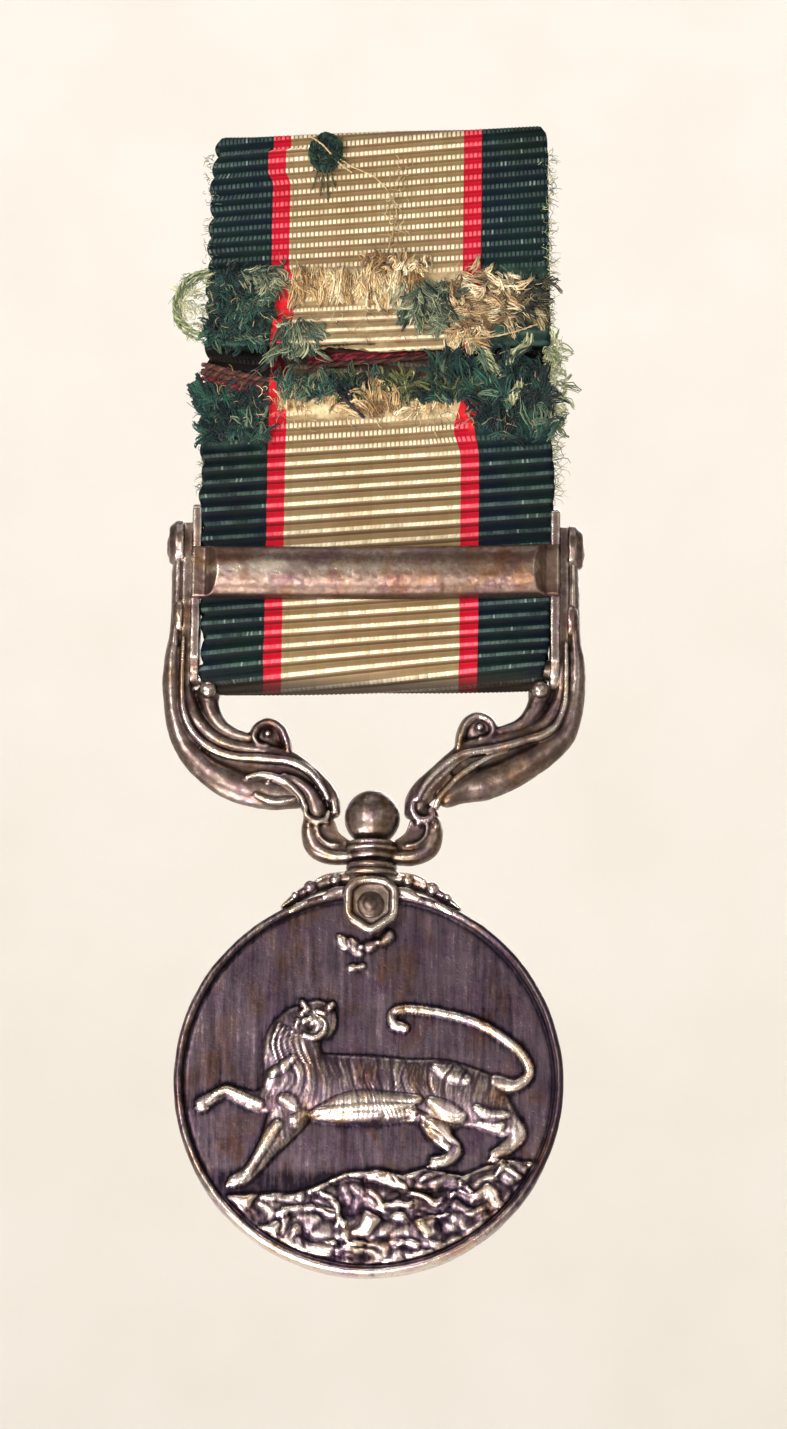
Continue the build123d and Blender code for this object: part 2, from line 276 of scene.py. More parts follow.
def tarnished_silver(name, dark, middle, bright, corrosion, shine, contrast=1.0, streak=0.0):
    """Old silver: black-brown in the hollows, violet-brown on the open faces and rubbed bright on the edges.
    The mesh's attribute hollow is 0 on edges, 0.5 on even faces and 1 in deep places; on the disc and the clasp it
    also carries painted highlights and painted shade."""
    s = Shader(name)
    where = s.millimetres()
    grain = s.noise(where, 4.0, 5.0, 0.65)
    level = s.plus(0.5, s.times(s.minus(s.attribute("hollow"), 0.5), contrast))
    level = s.swayed(level, s.noise(where, 0.45, 4.0, 0.6), 0.5)
    level = s.swayed(level, s.noise(s.millimetres((5.0, 5.0, 0.45)), 1.0, 3.0, 0.6), streak)
    level = s.swayed(level, grain, corrosion, clamp=True)
    half = tuple(0.35 * a + 0.65 * b for a, b in zip(bright, middle))
    deep = tuple(0.5 * (a + b) for a, b in zip(dark, middle))
    colour = s.ramp(level, [(0.12, bright), (0.30, half), (0.50, middle), (0.70, deep), (0.92, dark)])
    violet = s.remap(s.noise(where, 0.7, 3.0, 0.6, 0.4), 0.48, 0.68)
    colour = s.stained(s.times(violet, 0.55), colour, (205, 170, 225))
    ochre = s.remap(s.noise(s.millimetres((1.3, 1.1, 0.9)), 0.6, 3.0, 0.6, 0.3), 0.50, 0.70)
    colour = s.stained(s.times(ochre, 0.65), colour, (240, 198, 128))
    rough = s.swayed(s.remap(level, 0.1, 0.9, shine, shine + 0.24), grain, 0.25, clamp=True)
    pits = s.noise(where, 9.0, 2.0, 0.5)
    scratches = s.noise(s.millimetres((0.7, 0.7, 9.0)), 2.2, 4.0, 0.7, 0.6)
    normal = s.bump(s.remap(pits, 0.25, 0.42), 0.35, 0.012)
    normal = s.bump(grain, 0.4, 0.03, normal)
    normal = s.bump(scratches, 0.12, 0.02, normal)
    return s.finish({"Base Color": colour, "Metallic": 0.96, "Roughness": rough, "Normal": normal})


def worn_thread(name):
    """Loose thread and fuzz: each fibre carries its own colour in the attribute tint."""
    s = Shader(name)
    fleck = s.noise(s.millimetres(), 3.0, 3.0)
    colour = s.stained(s.remap(fleck, 0.3, 0.7, 0.0, 0.45), s.attribute("tint", "Color"), (150, 150, 140))
    fine = s.noise(s.millimetres(), 14.0, 2.0)
    return s.finish({"Base Color": colour, "Roughness": s.remap(fine, 0.3, 0.7, 0.55, 0.8), "Sheen Weight": 0.12,
                     "Sheen Roughness": 0.4, "Specular IOR Level": 0.2, "Normal": s.bump(fine, 0.4, 0.02)})


# the stripes' edges as shares of the ribbon's width, from the left
green_end, red_end, sand_end, second_red_end = 0.184, 0.235, 0.741, 0.794
thread_count = 78
ribbon_width, ribbon_thickness = 16.4, 0.33
tail_face = -0.66    # y of both front tails' faces, where loose threads are rooted


def stripe_colours(s, where, painted_highlight_dots, row, line, shade, jitter, yarn, lined):
    """The sand, red and green of the stripes. Each rib has a painted highlight row, a painted shadow line and
    painted shade; the green also has a few painted glints.
    """
    sand = s.mix(shade, srgb(148, 126, 86), srgb(114, 92, 58))
    sand = s.mix(s.remap(s.noise(where, 0.6, 3.0, 0.6), 0.45, 0.7, 0.0, 0.5), sand, srgb(150, 116, 94))
    sand = s.mix(line, sand, srgb(82, 56, 26))
    sand = s.mix(s.times(painted_highlight_dots, 0.94), sand, srgb(250, 240, 210))
    red = s.mix(shade, srgb(198, 20, 46), srgb(160, 8, 30))
    red = s.mix(line, red, srgb(104, 0, 12))
    red = s.mix(s.times(painted_highlight_dots, 0.8), red, srgb(252, 112, 128))
    mottle = s.remap(s.noise(where, 0.5, 3.0), 0.35, 0.65)
    green = s.mix(mottle, srgb(6, 18, 34), srgb(10, 32, 26))
    green = s.mix(s.remap(lined, 0.0, 1.0, 0.25, 0.0), green, srgb(20, 40, 46))
    green = s.mix(s.times(line, 0.8), green, srgb(2, 3, 8))
    faint = s.times(painted_highlight_dots, s.remap(s.noise(where, 1.6, 2.0), 0.35, 0.65, 0.25, 0.8))
    green = s.mix(faint, green, s.mix(jitter, srgb(92, 108, 112), srgb(70, 96, 84)))
    # a few painted glints on the green threads
    glint = s.times(s.above(jitter, 0.93), s.times(row, s.math("POWER", yarn, 6.0)))
    green = s.mix(s.times(glint, 0.45), green, srgb(176, 190, 190))
    return sand, red, green


def soiled(s, where, colour, across, along):
    """Rows and threads differ a little, and soil and dye run in soft clouds."""
    rows, columns = s.chance(s.math("FLOOR", along)), s.chance(s.math("FLOOR", across))
    colour = s.stained(s.remap(rows, 0.0, 1.0, 0.0, 0.22), colour, (168, 156, 140))
    colour = s.stained(s.remap(columns, 0.0, 1.0, 0.0, 0.20), colour, (180, 160, 136))
    soil = s.remap(s.noise(where, 0.22, 4.0, 0.6), 0.46, 0.72)
    return s.stained(s.times(soil, 0.5), colour, (206, 176, 140))


def woven_ribbon():
    """Ribbed silk: UV x counts the warp threads from the left edge and UV y counts the ribs, whose crests are at
    the halves. Each rib gets a painted highlight, a row of bright dots a little under its crest, and a painted
    shadow line in the valley under it. The attribute worn is 1 where the face has rubbed to felt, lined is 1 where
    the row of dots runs together, shaded is 1 where painted shade darkens the strip and inside is 1 on the inner
    face, inside the loop, which gets painted shade too."""
    s = Shader("ribbon_weave")
    uv = s.node("SeparateXYZ", {"Vector": s.node("UVMap", uv_map="weave").outputs["UV"]})
    across, along = uv.outputs["X"], uv.outputs["Y"]
    worn, lined, inside = s.attribute("worn"), s.attribute("lined"), s.attribute("inside")
    where = s.millimetres()
    rib = s.math("FRACT", along)
    index = s.node("CombineXYZ", {"X": s.math("FLOOR", across), "Y": s.math("FLOOR", along), "Z": 0.0}).outputs[0]
    jitter = s.chance(index, "2D")
    fleck = s.noise(s.millimetres((1.0, 1.0, 1.6)), 2.6, 3.0)

    # the painted highlight, a row of bright dots a little under each crest, and the painted shadow line in the
    # valley
    yarn = s.math("SINE", s.times(s.math("FRACT", across), pi))
    away = s.math("ABSOLUTE", s.minus(rib, 0.42))
    reach = s.remap(lined, 0.0, 1.0, 0.235, 0.165)
    row = s.remap(s.math("DIVIDE", away, reach), 1.0, 0.55, smooth=True)
    spaced = s.remap(yarn, 0.30, 0.80, smooth=True)
    joined_up = s.remap(s.plus(s.times(spaced, 0.25), fleck), 0.30, 0.55, 0.55, 1.0)
    painted_highlight_dots = s.times(row, s.mix(lined, spaced, joined_up))
    painted_highlight_dots = s.times(painted_highlight_dots, s.remap(jitter, 0.0, 0.6, 0.55, 1.0))
    line = s.remap(s.math("ABSOLUTE", s.minus(rib, 0.08)), 0.17, 0.03, smooth=True)
    line = s.times(line, s.remap(lined, 0.0, 1.0, 0.45, 1.0))
    # painted shade across each rib, darkest just past the valley
    shade = s.remap(rib, 0.2, 1.0, 0.65, 0.0)
    sand, red, green = stripe_colours(s, where, painted_highlight_dots, row, line, shade, jitter, yarn, lined)

    share = s.math("DIVIDE", across, float(thread_count))
    share = s.plus(share, s.times(s.minus(s.noise(where, 0.9, 2.0), 0.5), 0.006))
    in_red = s.plus(s.between(share, green_end, red_end), s.between(share, sand_end, second_red_end))
    in_sand = s.between(share, red_end, sand_end)
    colour = soiled(s, where, s.mix(in_sand, s.mix(in_red, green, red), sand), across, along)

    felt = s.mix(s.remap(s.noise(where, 2.2, 4.0), 0.3, 0.7), srgb(150, 122, 84), srgb(226, 205, 164))
    wool = s.mix(s.remap(s.noise(where, 1.3, 4.0), 0.38, 0.66), srgb(14, 34, 36), srgb(62, 88, 74))
    felt = s.mix(in_sand, s.mix(in_red, wool, srgb(196, 34, 40)), felt)
    colour = s.mix(s.times(worn, 0.85), colour, felt)
    # painted shade, from the attribute shaded
    colour = s.mix(s.attribute("shaded"), colour, srgb(26, 15, 9))
    # painted shade on the inner faces inside the loop
    colour = s.stained(s.times(inside, 0.6), colour, (150, 130, 130))

    fibre = s.noise(s.millimetres((7.0, 7.0, 1.2)), 2.6, 3.0, 0.6)
    strands = s.times(s.times(yarn, row), s.minus(1.0, worn))
    normal = s.bump(fibre, 0.4, 0.03, s.bump(strands, 0.5, 0.05))
    rough = s.plus(s.remap(fibre, 0.3, 0.7, 0.48, 0.62), s.times(worn, 0.3), clamp=True)
    gloss = s.mix(in_sand, (0.10, 0.10, 0.10), (0.30, 0.30, 0.30))
    return s.finish({"Base Color": colour, "Roughness": rough, "Specular IOR Level": gloss, "Normal": normal})


# ---------------------------------------------------------------- mesh helpers

def lattice_noise(points, size, seed):
    """Smooth noise from -1 to 1 with features about size across; the same for the same seed."""
    count = 24
    lattice = np.random.default_rng(seed).uniform(-1, 1, (count, count, count))
    cell = np.asarray(points, float) / size
    base = np.floor(cell).astype(int)
    part = cell - base
    part = part * part * (3 - 2 * part)
    total = np.zeros(len(cell))
    for corner in np.ndindex(2, 2, 2):
        weight = np.prod(np.where(np.array(corner) == 1, part, 1 - part), axis=1)
        i, j, k = ((base + np.array(corner)) % count).T
        total += weight * lattice[i, j, k]
    return total


def smooth_step(value, low, high):
    """0 up to low and 1 from high, eased between; low may also be the larger."""
    t = np.clip((np.asarray(value, float) - low) / (high - low), 0, 1)
    return t * t * (3 - 2 * t)


def hump(value, centre, width):
    """1 at the centre, falling off softly over the width."""
    return np.exp(-(((np.asarray(value, float) - centre) / width) ** 2))


def face_normals(points, faces):
    """A unit normal for each point, from the four-sided faces round it."""
    normal = np.cross(points[faces[:, 2]] - points[faces[:, 0]], points[faces[:, 3]] - points[faces[:, 1]])
    out = np.zeros_like(points)
    for column in range(4):
        for axis in range(3):
            out[:, axis] += np.bincount(faces[:, column], normal[:, axis], len(points))
    return out / np.maximum(np.linalg.norm(out, axis=1, keepdims=True), 1e-12)


def relaxed(points, edges, rounds):
    """The points moved towards the mean of their neighbours, rounds times."""
    stay = 0.4
    count = np.bincount(edges.ravel(), minlength=len(points))
    now = points.copy()
    for _ in range(rounds):
        total = np.zeros_like(now)
        for axis in range(3):
            total[:, axis] = (np.bincount(edges[:, 0], now[edges[:, 1], axis], len(now))
                              + np.bincount(edges[:, 1], now[edges[:, 0], axis], len(now)))
        now = now * stay + (1 - stay) * total / np.maximum(count, 1)[:, None]
    return now


def mesh_edges(faces):
    pairs = np.concatenate([np.stack([faces[:, i], faces[:, (i + 1) % 4]], 1) for i in range(4)])
    return np.unique(np.sort(pairs, axis=1), axis=0)


def grid_faces(rows, columns, wrap_rows=False, wrap_columns=True):
    """Quads over points stored row after row. Where a side wraps, its last line joins its first."""
    i, k = np.meshgrid(np.arange(rows if wrap_rows else rows - 1),
                       np.arange(columns if wrap_columns else columns - 1), indexing="ij")
    next_i, next_k = (i + 1) % rows, (k + 1) % columns
    corners = [i * columns + k, i * columns + next_k, next_i * columns + next_k, next_i * columns + k]
    return np.stack(corners, -1).reshape(-1, 4)


def hollow_of(points, faces, reaches=((4, 9.0), (16, 3.5))):
    """0 on edges, 0.5 on even faces and 1 in hollows, from how far each point lies under its smoothed place."""
    edges = mesh_edges(faces)
    normal = face_normals(points, faces)
    level = np.full(len(points), 0.5)
    for rounds, gain in reaches:
        level += gain * np.einsum("ij,ij->i", relaxed(points, edges, rounds) - points, normal)
    return np.clip(level, 0, 1)


def finish_piece(name, points, faces, material, body, stands_for, attributes=(), uv=None, tints=None):
    """Makes the object from millimetre points, moves it into the frame and rides it on its body."""
    placed = (np.asarray(points) + np.array([0, 0, disc_height])) * MM
    mesh = bpy.data.meshes.new(name)
    mesh.from_pydata(placed.tolist(), [], [list(map(int, f)) for f in faces])
    mesh.shade_smooth()
    for key, values in dict(attributes).items():
        mesh.attributes.new(key, "FLOAT", "POINT").data.foreach_set("value", np.asarray(values, np.float32))
    if tints is not None:
        colours = np.ones((len(placed), 4), np.float32)
        colours[:, :3] = tints
        mesh.attributes.new("tint", "FLOAT_COLOR", "POINT").data.foreach_set("color", colours.ravel())
    if uv is not None:
        corner = np.zeros(len(mesh.loops), np.int32)
        mesh.loops.foreach_get("vertex_index", corner)
        mesh.uv_layers.new(name="weave").data.foreach_set("uv", np.asarray(uv, np.float32)[corner].ravel())
    mesh.materials.append(material)
    piece = bpy.data.objects.new(name, mesh)
    bpy.context.scene.collection.objects.link(piece)
    if body:
        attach(piece, body)
    if stands_for:
        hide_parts(*stands_for)
    return piece


def smooth_line(points, per_span=8):
    """A Catmull-Rom line through the points, with any extra columns such as radii carried along."""
    p = np.asarray(points, float)
    p = np.vstack([2 * p[0] - p[1], p, 2 * p[-1] - p[-2]])
    out = []
    for i in range(1, len(p) - 2):
        t = np.linspace(0, 1, per_span, endpoint=False)[:, None]
        a, b, c, d = p[i - 1], p[i], p[i + 1], p[i + 2]
        bend, twist = 2 * a - 5 * b + 4 * c - d, 3 * b - a - 3 * c + d
        out.append(0.5 * (2 * b + (c - a) * t + bend * t**2 + twist * t**3))
    return np.vstack(out + [p[-2:-1]])


class Casting:
    """Solids gathered in millimetres, to be fused into one cast piece."""

    def __init__(self):
        self.points, self.faces = [], []

    def add(self, points, faces):
        start = sum(len(p) for p in self.points)
        self.points.append(np.asarray(points, float))
        self.faces.extend([tuple(int(i) + start for i in f) for f in faces])

    def rod(self, line, radii, depth=None, sides=14, closed=False):
        """A round-ended rod along line; radii across it, and depth its half thickness in Y, where it is flatter."""
        line = np.asarray(line, float)
        radii = np.broadcast_to(np.asarray(radii, float), (len(line),))
        depth = radii if depth is None else np.broadcast_to(np.asarray(depth, float), (len(line),))
        tangent = np.roll(line, -1, 0) - np.roll(line, 1, 0) if closed else np.gradient(line, axis=0)
        tangent /= np.maximum(np.linalg.norm(tangent, axis=1, keepdims=True), 1e-9)
        side = np.cross(tangent, ALONG_Y)
        weak = np.linalg.norm(side, axis=1) < 0.2
        side[weak] = np.cross(tangent[weak], np.array([1.0, 0, 0]))
        side /= np.maximum(np.linalg.norm(side, axis=1, keepdims=True), 1e-9)
        up = np.cross(side, tangent)
        if not closed:
            line, radii, depth, side, up = self.round_ends(line, radii, depth, side, up, tangent[[0, -1]])
        turn = np.linspace(0, 2 * pi, sides, endpoint=False)
        rings = (line[:, None] + side[:, None] * (radii[:, None] * np.cos(turn))[..., None]
                 + up[:, None] * (depth[:, None] * np.sin(turn))[..., None])
        n = len(line)
        faces = grid_faces(n, sides, wrap_rows=closed).tolist()
        if not closed:
            faces += [tuple(range(sides))[::-1], tuple((n - 1) * sides + k for k in range(sides))]
        self.add(rings.reshape(-1, 3), faces)

    @staticmethod
    def round_ends(line, radii, depth, side, up, tangents):
        """The rod's rows with three more at each end, where it closes like a dome."""
        angles = [radians(d) for d in (30, 60, 84)]
        shrink = np.array([cos(a) for a in angles])
        rows = [line, radii, depth, side, up]
        for end, way, tangent in ((0, -1.0, tangents[0]), (-1, 1.0, tangents[1])):
            past = np.array([rows[0][end] + way * tangent * rows[1][end] * sin(a) for a in angles])
            extra = [past, rows[1][end] * shrink, rows[2][end] * shrink,
                     np.repeat(rows[3][end][None], 3, 0), np.repeat(rows[4][end][None], 3, 0)]
            rows = [np.concatenate([more[::-1], row] if end == 0 else [row, more])
                    for row, more in zip(rows, extra)]
        return rows

    def ball(self, centre, radius, depth=None, width=None):
        """A ball; depth is its half thickness in Y and width its half thickness in X, where they differ."""
        depth = radius if depth is None else depth
        width = radius if width is None else width
        rings, sides = 12, 20
        points = [(centre[0], centre[1], centre[2] - radius)]
        for i in range(1, rings):
            a = pi * i / rings
            points += [(centre[0] + width * sin(a) * cos(b), centre[1] + depth * sin(a) * sin(b),
                        centre[2] - radius * cos(a)) for b in np.linspace(0, 2 * pi, sides, endpoint=False)]
        points.append((centre[0], centre[1], centre[2] + radius))
        last = len(points) - 1
        faces = [(0, 1 + (k + 1) % sides, 1 + k) for k in range(sides)]
        faces += (1 + grid_faces(rings - 1, sides)).tolist()
        faces += [(last, last - sides + k, last - sides + (k + 1) % sides) for k in range(sides)]
        self.add(points, faces)

    def ring(self, height, radius, thick, tall):
        """A ring around the upright axis."""
        turns, sides = 64, 12
        points = []
        for a in np.linspace(0, 2 * pi, turns, endpoint=False):
            for b in np.linspace(0, 2 * pi, sides, endpoint=False):
                r = radius + thick * cos(b)
                points.append((r * cos(a), r * sin(a), height + tall * sin(b)))
        self.add(points, grid_faces(turns, sides, wrap_rows=True)[:, ::-1])

    def ridge(self, line, y, depth=None, sides=14, per_span=7):
        """A rod in the plane y, smoothed through points (x, height, radius)."""
        fine = smooth_line(line, per_span)
        self.rod(np.stack([fine[:, 0], np.full(len(fine), y), fine[:, 1]], 1), fine[:, 2], depth, sides)

    def prism(self, outline, low, high):
        """A flat solid: outline in X and height, from y = low to y = high."""
        n = len(outline)
        points = [(x, low, z) for x, z in outline] + [(x, high, z) for x, z in outline]
        faces = [(k, (k + 1) % n, n + (k + 1) % n, n + k) for k in range(n)]
        self.add(points, faces + [tuple(range(n))[::-1], tuple(range(n, 2 * n))])

    def node(self, name):
        """The CAD node's own shape."""
        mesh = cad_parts[name].data
        points = np.array([v.co for v in mesh.vertices]) / MM - np.array([0, 0, disc_height])
        self.add(points, [tuple(p.vertices) for p in mesh.polygons])

    def fuse(self, voxel, rounds):
        """(points, faces) of the solids joined into one skin, its edges eased by smoothing."""
        mesh = bpy.data.meshes.new("casting")
        mesh.from_pydata(np.vstack(self.points).tolist(), [], self.faces)
        raw = bpy.data.objects.new("casting", mesh)
        bpy.context.scene.collection.objects.link(raw)
        remesh = raw.modifiers.new("fuse", "REMESH")
        remesh.mode = "VOXEL"
        remesh.voxel_size = voxel
        made = bpy.data.meshes.new_from_object(raw.evaluated_get(bpy.context.evaluated_depsgraph_get()))
        points = np.zeros(len(made.vertices) * 3)
        made.vertices.foreach_get("co", points)
        points = points.reshape(-1, 3)
        faces = np.array([tuple(p.vertices) for p in made.polygons])
        bpy.data.objects.remove(raw)
        bpy.data.meshes.remove(mesh)
        bpy.data.meshes.remove(made)
        return relaxed(points, mesh_edges(faces), rounds), faces


def cast_piece(name, casting, voxel, material, body, node, seed, rounds=2, dents=0.02, tone=0.0):
    """Fuses the casting, which stands for the CAD node; tone moves its silver darker, or brighter below 0."""
    points, faces = casting.fuse(voxel, rounds)
    normal = face_normals(points, faces)
    points = points + normal * (dents * lattice_noise(points, 0.9, seed)
                                + 0.4 * dents * lattice_noise(points, 0.3, seed + 1))[:, None]
    hollow = np.clip(hollow_of(points, faces) + tone, 0, 1)
    finish_piece(name, points, faces, material, body, (node,), {"hollow": hollow})


# ---------------------------------------------------------------- the disc

def flat_points(x, z):
    return np.stack([x, 0 * x, z], 1)


def swollen(line, gain):
    """The line (x, height, radius) with its radii grown."""
    return [(a, b, gain * r) for a, b, r in line]


def stroke(x, z, line, height, power):
    """A rounded ridge along a line whose points are (x, height up, radius)."""
    line = smooth_line(line, 6) if len(line) > 2 else np.asarray(line, float)
    best = np.zeros_like(x)
    for a, b in zip(line[:-1], line[1:]):
        dx, dz = b[0] - a[0], b[1] - a[1]
        t = np.clip(((x - a[0]) * dx + (z - a[1]) * dz) / max(dx * dx + dz * dz, 1e-9), 0, 1)
        radius = a[2] + (b[2] - a[2]) * t
        away = np.hypot(x - a[0] - dx * t, z - a[1] - dz * t) / radius
        best = np.maximum(best, height * np.clip(1 - away**2, 0, 1) ** (0.5 * power))
    return best


def joined(a, b, blend):
    """The higher of two reliefs, rounded where they meet."""
    h = np.clip(0.5 + 0.5 * (a - b) / blend, 0, 1)
    return b + (a - b) * h + blend * h * (1 - h)


def cat_body(x, z):
    """Torso, neck and the four legs, melted into each other."""
    torso = stroke(x, z, [(-3.4, -0.1, 1.55), (-1.9, -0.35, 1.62), (0.0, -0.42, 1.62), (1.8, -0.42, 1.5),
                          (3.4, -0.45, 1.5), (4.9, -0.75, 1.35)], 0.40, 0.8)
    neck = stroke(x, z, [(-3.4, 0.4, 1.5), (-3.6, 1.5, 1.35), (-3.25, 2.3, 1.15), (-2.8, 2.6, 1.0)], 0.38, 0.8)
    fore = stroke(x, z, [(-3.5, -1.2, 1.1), (-4.05, -2.3, 0.75), (-4.65, -3.2, 0.5), (-5.15, -4.0, 0.4),
                         (-5.65, -4.5, 0.38), (-6.1, -4.68, 0.32)], 0.36, 0.8)
    raised = stroke(x, z, [(-3.9, -0.6, 0.95), (-5.0, -1.0, 0.52), (-6.0, -0.75, 0.36), (-6.6, -0.55, 0.32),
                           (-7.2, -0.85, 0.30), (-7.7, -1.15, 0.34)], 0.30, 0.8)
    thigh = stroke(x, z, [(4.0, -0.6, 1.45), (3.2, -1.6, 0.95), (3.4, -2.5, 0.55), (4.0, -3.15, 0.38),
                          (3.6, -3.6, 0.34), (3.1, -3.7, 0.3)], 0.40, 0.8)
    far_leg = stroke(x, z, [(5.3, -1.0, 1.2), (6.3, -1.8, 0.7), (6.9, -2.35, 0.45), (6.4, -3.0, 0.36),
                            (5.9, -3.35, 0.33)], 0.30, 0.8)
    body = torso
    for part in (neck, far_leg, fore, raised, thigh):
        body = joined(body, part, 0.06)
    return body


def cat_coat(x, z, body):
    """Worn stripes, fine ribs of fur, and folds over the belly, hips, shoulder and ruff."""
    cover = smooth_step(body, 0.08, 0.3)
    flat = flat_points(x, z)
    sway = x + 0.26 * np.sin(1.3 * z + 0.6 * x) + 0.22 * lattice_noise(flat, 0.9, 17)
    stripes = np.clip(np.cos(2 * pi * sway / 0.62), 0, 1) ** 1.5 * (0.55 + 0.6 * lattice_noise(flat, 0.7, 18))
    body -= 0.06 * stripes * cover * smooth_step(z, -1.1, 0.2) * smooth_step(np.hypot(x + 2.6, z - 2.7), 0.9, 1.6)
    body += 0.006 * np.sin(2 * pi * (sway / 0.21 + 0.3 * z)) * cover
    folds = [
        # belly
        [(-2.3, -1.45, 0.14), (-1.2, -1.15, 0.27), (-0.2, -1.05, 0.32), (1.0, -1.0, 0.26), (2.3, -0.85, 0.12)],
        [(-2.3, -1.95, 0.12), (-1.4, -1.92, 0.2), (-0.4, -1.75, 0.16), (0.5, -1.62, 0.1)],
        # hip, thigh and hock
        [(3.1, 0.75, 0.12), (3.8, 0.42, 0.26), (4.5, 0.1, 0.14)],
        [(2.9, -0.95, 0.14), (3.6, -1.35, 0.24), (4.25, -1.65, 0.16)],
        [(2.9, -1.95, 0.12), (3.4, -2.3, 0.2), (4.2, -2.75, 0.12)],
        [(2.0, -1.95, 0.1), (2.9, -2.5, 0.16), (3.6, -3.05, 0.12)],
        [(2.25, -1.65, 0.18), (2.5, -1.75, 0.18)],
        [(5.2, -2.0, 0.12), (5.7, -2.15, 0.22), (6.1, -2.0, 0.12)],
        [(5.0, -1.2, 0.1), (5.6, -1.5, 0.16), (6.4, -1.5, 0.1)],
        # shoulder, elbow and the edges of both forelegs
        [(-3.25, -1.9, 0.2), (-3.05, -1.75, 0.22)],
        [(-4.0, -0.9, 0.14), (-3.7, -1.0, 0.2), (-3.4, -1.25, 0.12)],
        [(-4.2, -2.1, 0.14), (-4.7, -2.8, 0.18), (-5.1, -3.5, 0.16), (-5.5, -4.2, 0.12)],
        [(-5.0, -1.15, 0.12), (-5.9, -0.72, 0.14), (-6.5, -0.42, 0.17), (-7.0, -0.6, 0.12)],
        # ruff
        [(-4.45, 0.3, 0.12), (-3.95, 0.6, 0.16), (-3.5, 1.0, 0.1)],
    ]
    for line in folds:
        body = body + 0.13 * stroke(x, z, swollen(line, 2.0), 1.0, 1.9) * cover
    belly = [(-2.5, -1.62, 0.3), (-1.2, -1.62, 0.46), (0.4, -1.5, 0.46), (2.0, -1.35, 0.3)]
    body = body + 0.12 * stroke(x, z, belly, 1.0, 1.5) * cover
    for k in range(6):
        hair = [(-4.15 + 0.2 * k, 2.6 - 0.1 * k, 0.07), (-4.45 + 0.28 * k, 1.7, 0.13),
                (-4.2 + 0.3 * k, 0.8, 0.07)]
        body = joined(body, stroke(x, z, hair, 0.41, 0.8), 0.03)
    return body


def cat_head(x, z, body):
    """The head, turned three quarters: skull, ears, brow, muzzle, cheeks, an open mouth and eyes."""
    body = joined(body, stroke(x, z, [(-2.45, 2.8, 0.98), (-2.7, 2.7, 0.95)], 0.42, 0.7), 0.04)
    face = [[(-3.05, 3.5, 0.22), (-3.12, 3.62, 0.16)], [(-1.85, 3.42, 0.22), (-1.72, 3.55, 0.16)],
            [(-3.1, 3.1, 0.2), (-2.9, 3.3, 0.22)], [(-2.45, 3.2, 0.13), (-2.1, 3.1, 0.14)],
            [(-2.4, 3.0, 0.1), (-2.05, 2.65, 0.16), (-2.15, 2.2, 0.18), (-2.55, 1.95, 0.17),
             (-3.0, 2.08, 0.17)],
            [(-3.3, 2.75, 0.16), (-3.4, 2.45, 0.12)], [(-3.0, 2.75, 0.22), (-2.75, 2.85, 0.2)]]
    for line in face:
        body = joined(body, stroke(x, z, line, 0.52, 0.8), 0.02)
    body -= 0.20 * hump(np.hypot((x + 2.75) / 1.3, z - 2.45), 0, 0.2)
    for eye in ((-2.95, 3.02), (-2.38, 2.98)):
        body -= 0.10 * hump(np.hypot(x - eye[0], z - eye[1]), 0, 0.1)
    return body


def big_cat(x, z):
    """A striped cat striding to the left, its tail curled over its back, as heights above the field."""
    body = cat_head(x, z, cat_coat(x, z, cat_body(x, z)))
    tail = stroke(x, z, [(5.9, 0.0, 0.42), (6.8, -0.1, 0.3), (7.4, 0.45, 0.26), (7.1, 1.3, 0.24),
                         (6.3, 2.05, 0.23), (5.0, 2.8, 0.22), (3.5, 3.2, 0.22), (2.0, 3.4, 0.23),
                         (1.15, 3.25, 0.25), (1.1, 2.75, 0.26), (1.65, 2.5, 0.24)], 0.30, 0.7)
    rings = 0.03 * np.clip(np.sin(2 * pi * (0.9 * x + 0.5 * z) / 0.6), 0, 1)
    body = joined(body, np.where(tail > 0.05, tail - rings * (x < 6.0), tail), 0.02)
    for paw in ((-6.25, -4.75), (-7.75, -1.25), (3.0, -3.8), (5.8, -3.45)):
        for k in range(3):
            toe = [(paw[0] - 0.05 + 0.17 * k, paw[1] - 0.05 * k, 0.10),
                   (paw[0] - 0.2 + 0.17 * k, paw[1] - 0.15, 0.08)]
            body = joined(body, stroke(x, z, toe, 0.30, 0.8), 0.01)
    return np.maximum(body, 0)


def boulders(x, z, size, seed):
    """Rounded lumps about size across, packed side by side, from 0 in the cracks to 1 on top."""
    random = np.random.default_rng(seed)
    drift = random.uniform(-0.38, 0.38, (40, 40, 2))
    tall = random.uniform(0.55, 1.0, (40, 40))
    cx, cz = np.floor(x / size).astype(int), np.floor(z / size).astype(int)
    top = np.zeros_like(x)
    for dx in (-1, 0, 1):
        for dz in (-1, 0, 1):
            i, k = (cx + dx) % 40, (cz + dz) % 40
            px = (cx + dx + 0.5 + drift[i, k, 0]) * size
            pz = (cz + dz + 0.5 + drift[i, k, 1]) * size
            away = np.hypot((x - px) / 1.25, z - pz) / (0.62 * size)
            top = np.maximum(top, tall[i, k] * np.sqrt(np.clip(1 - away**2, 0, 1)))
    return top


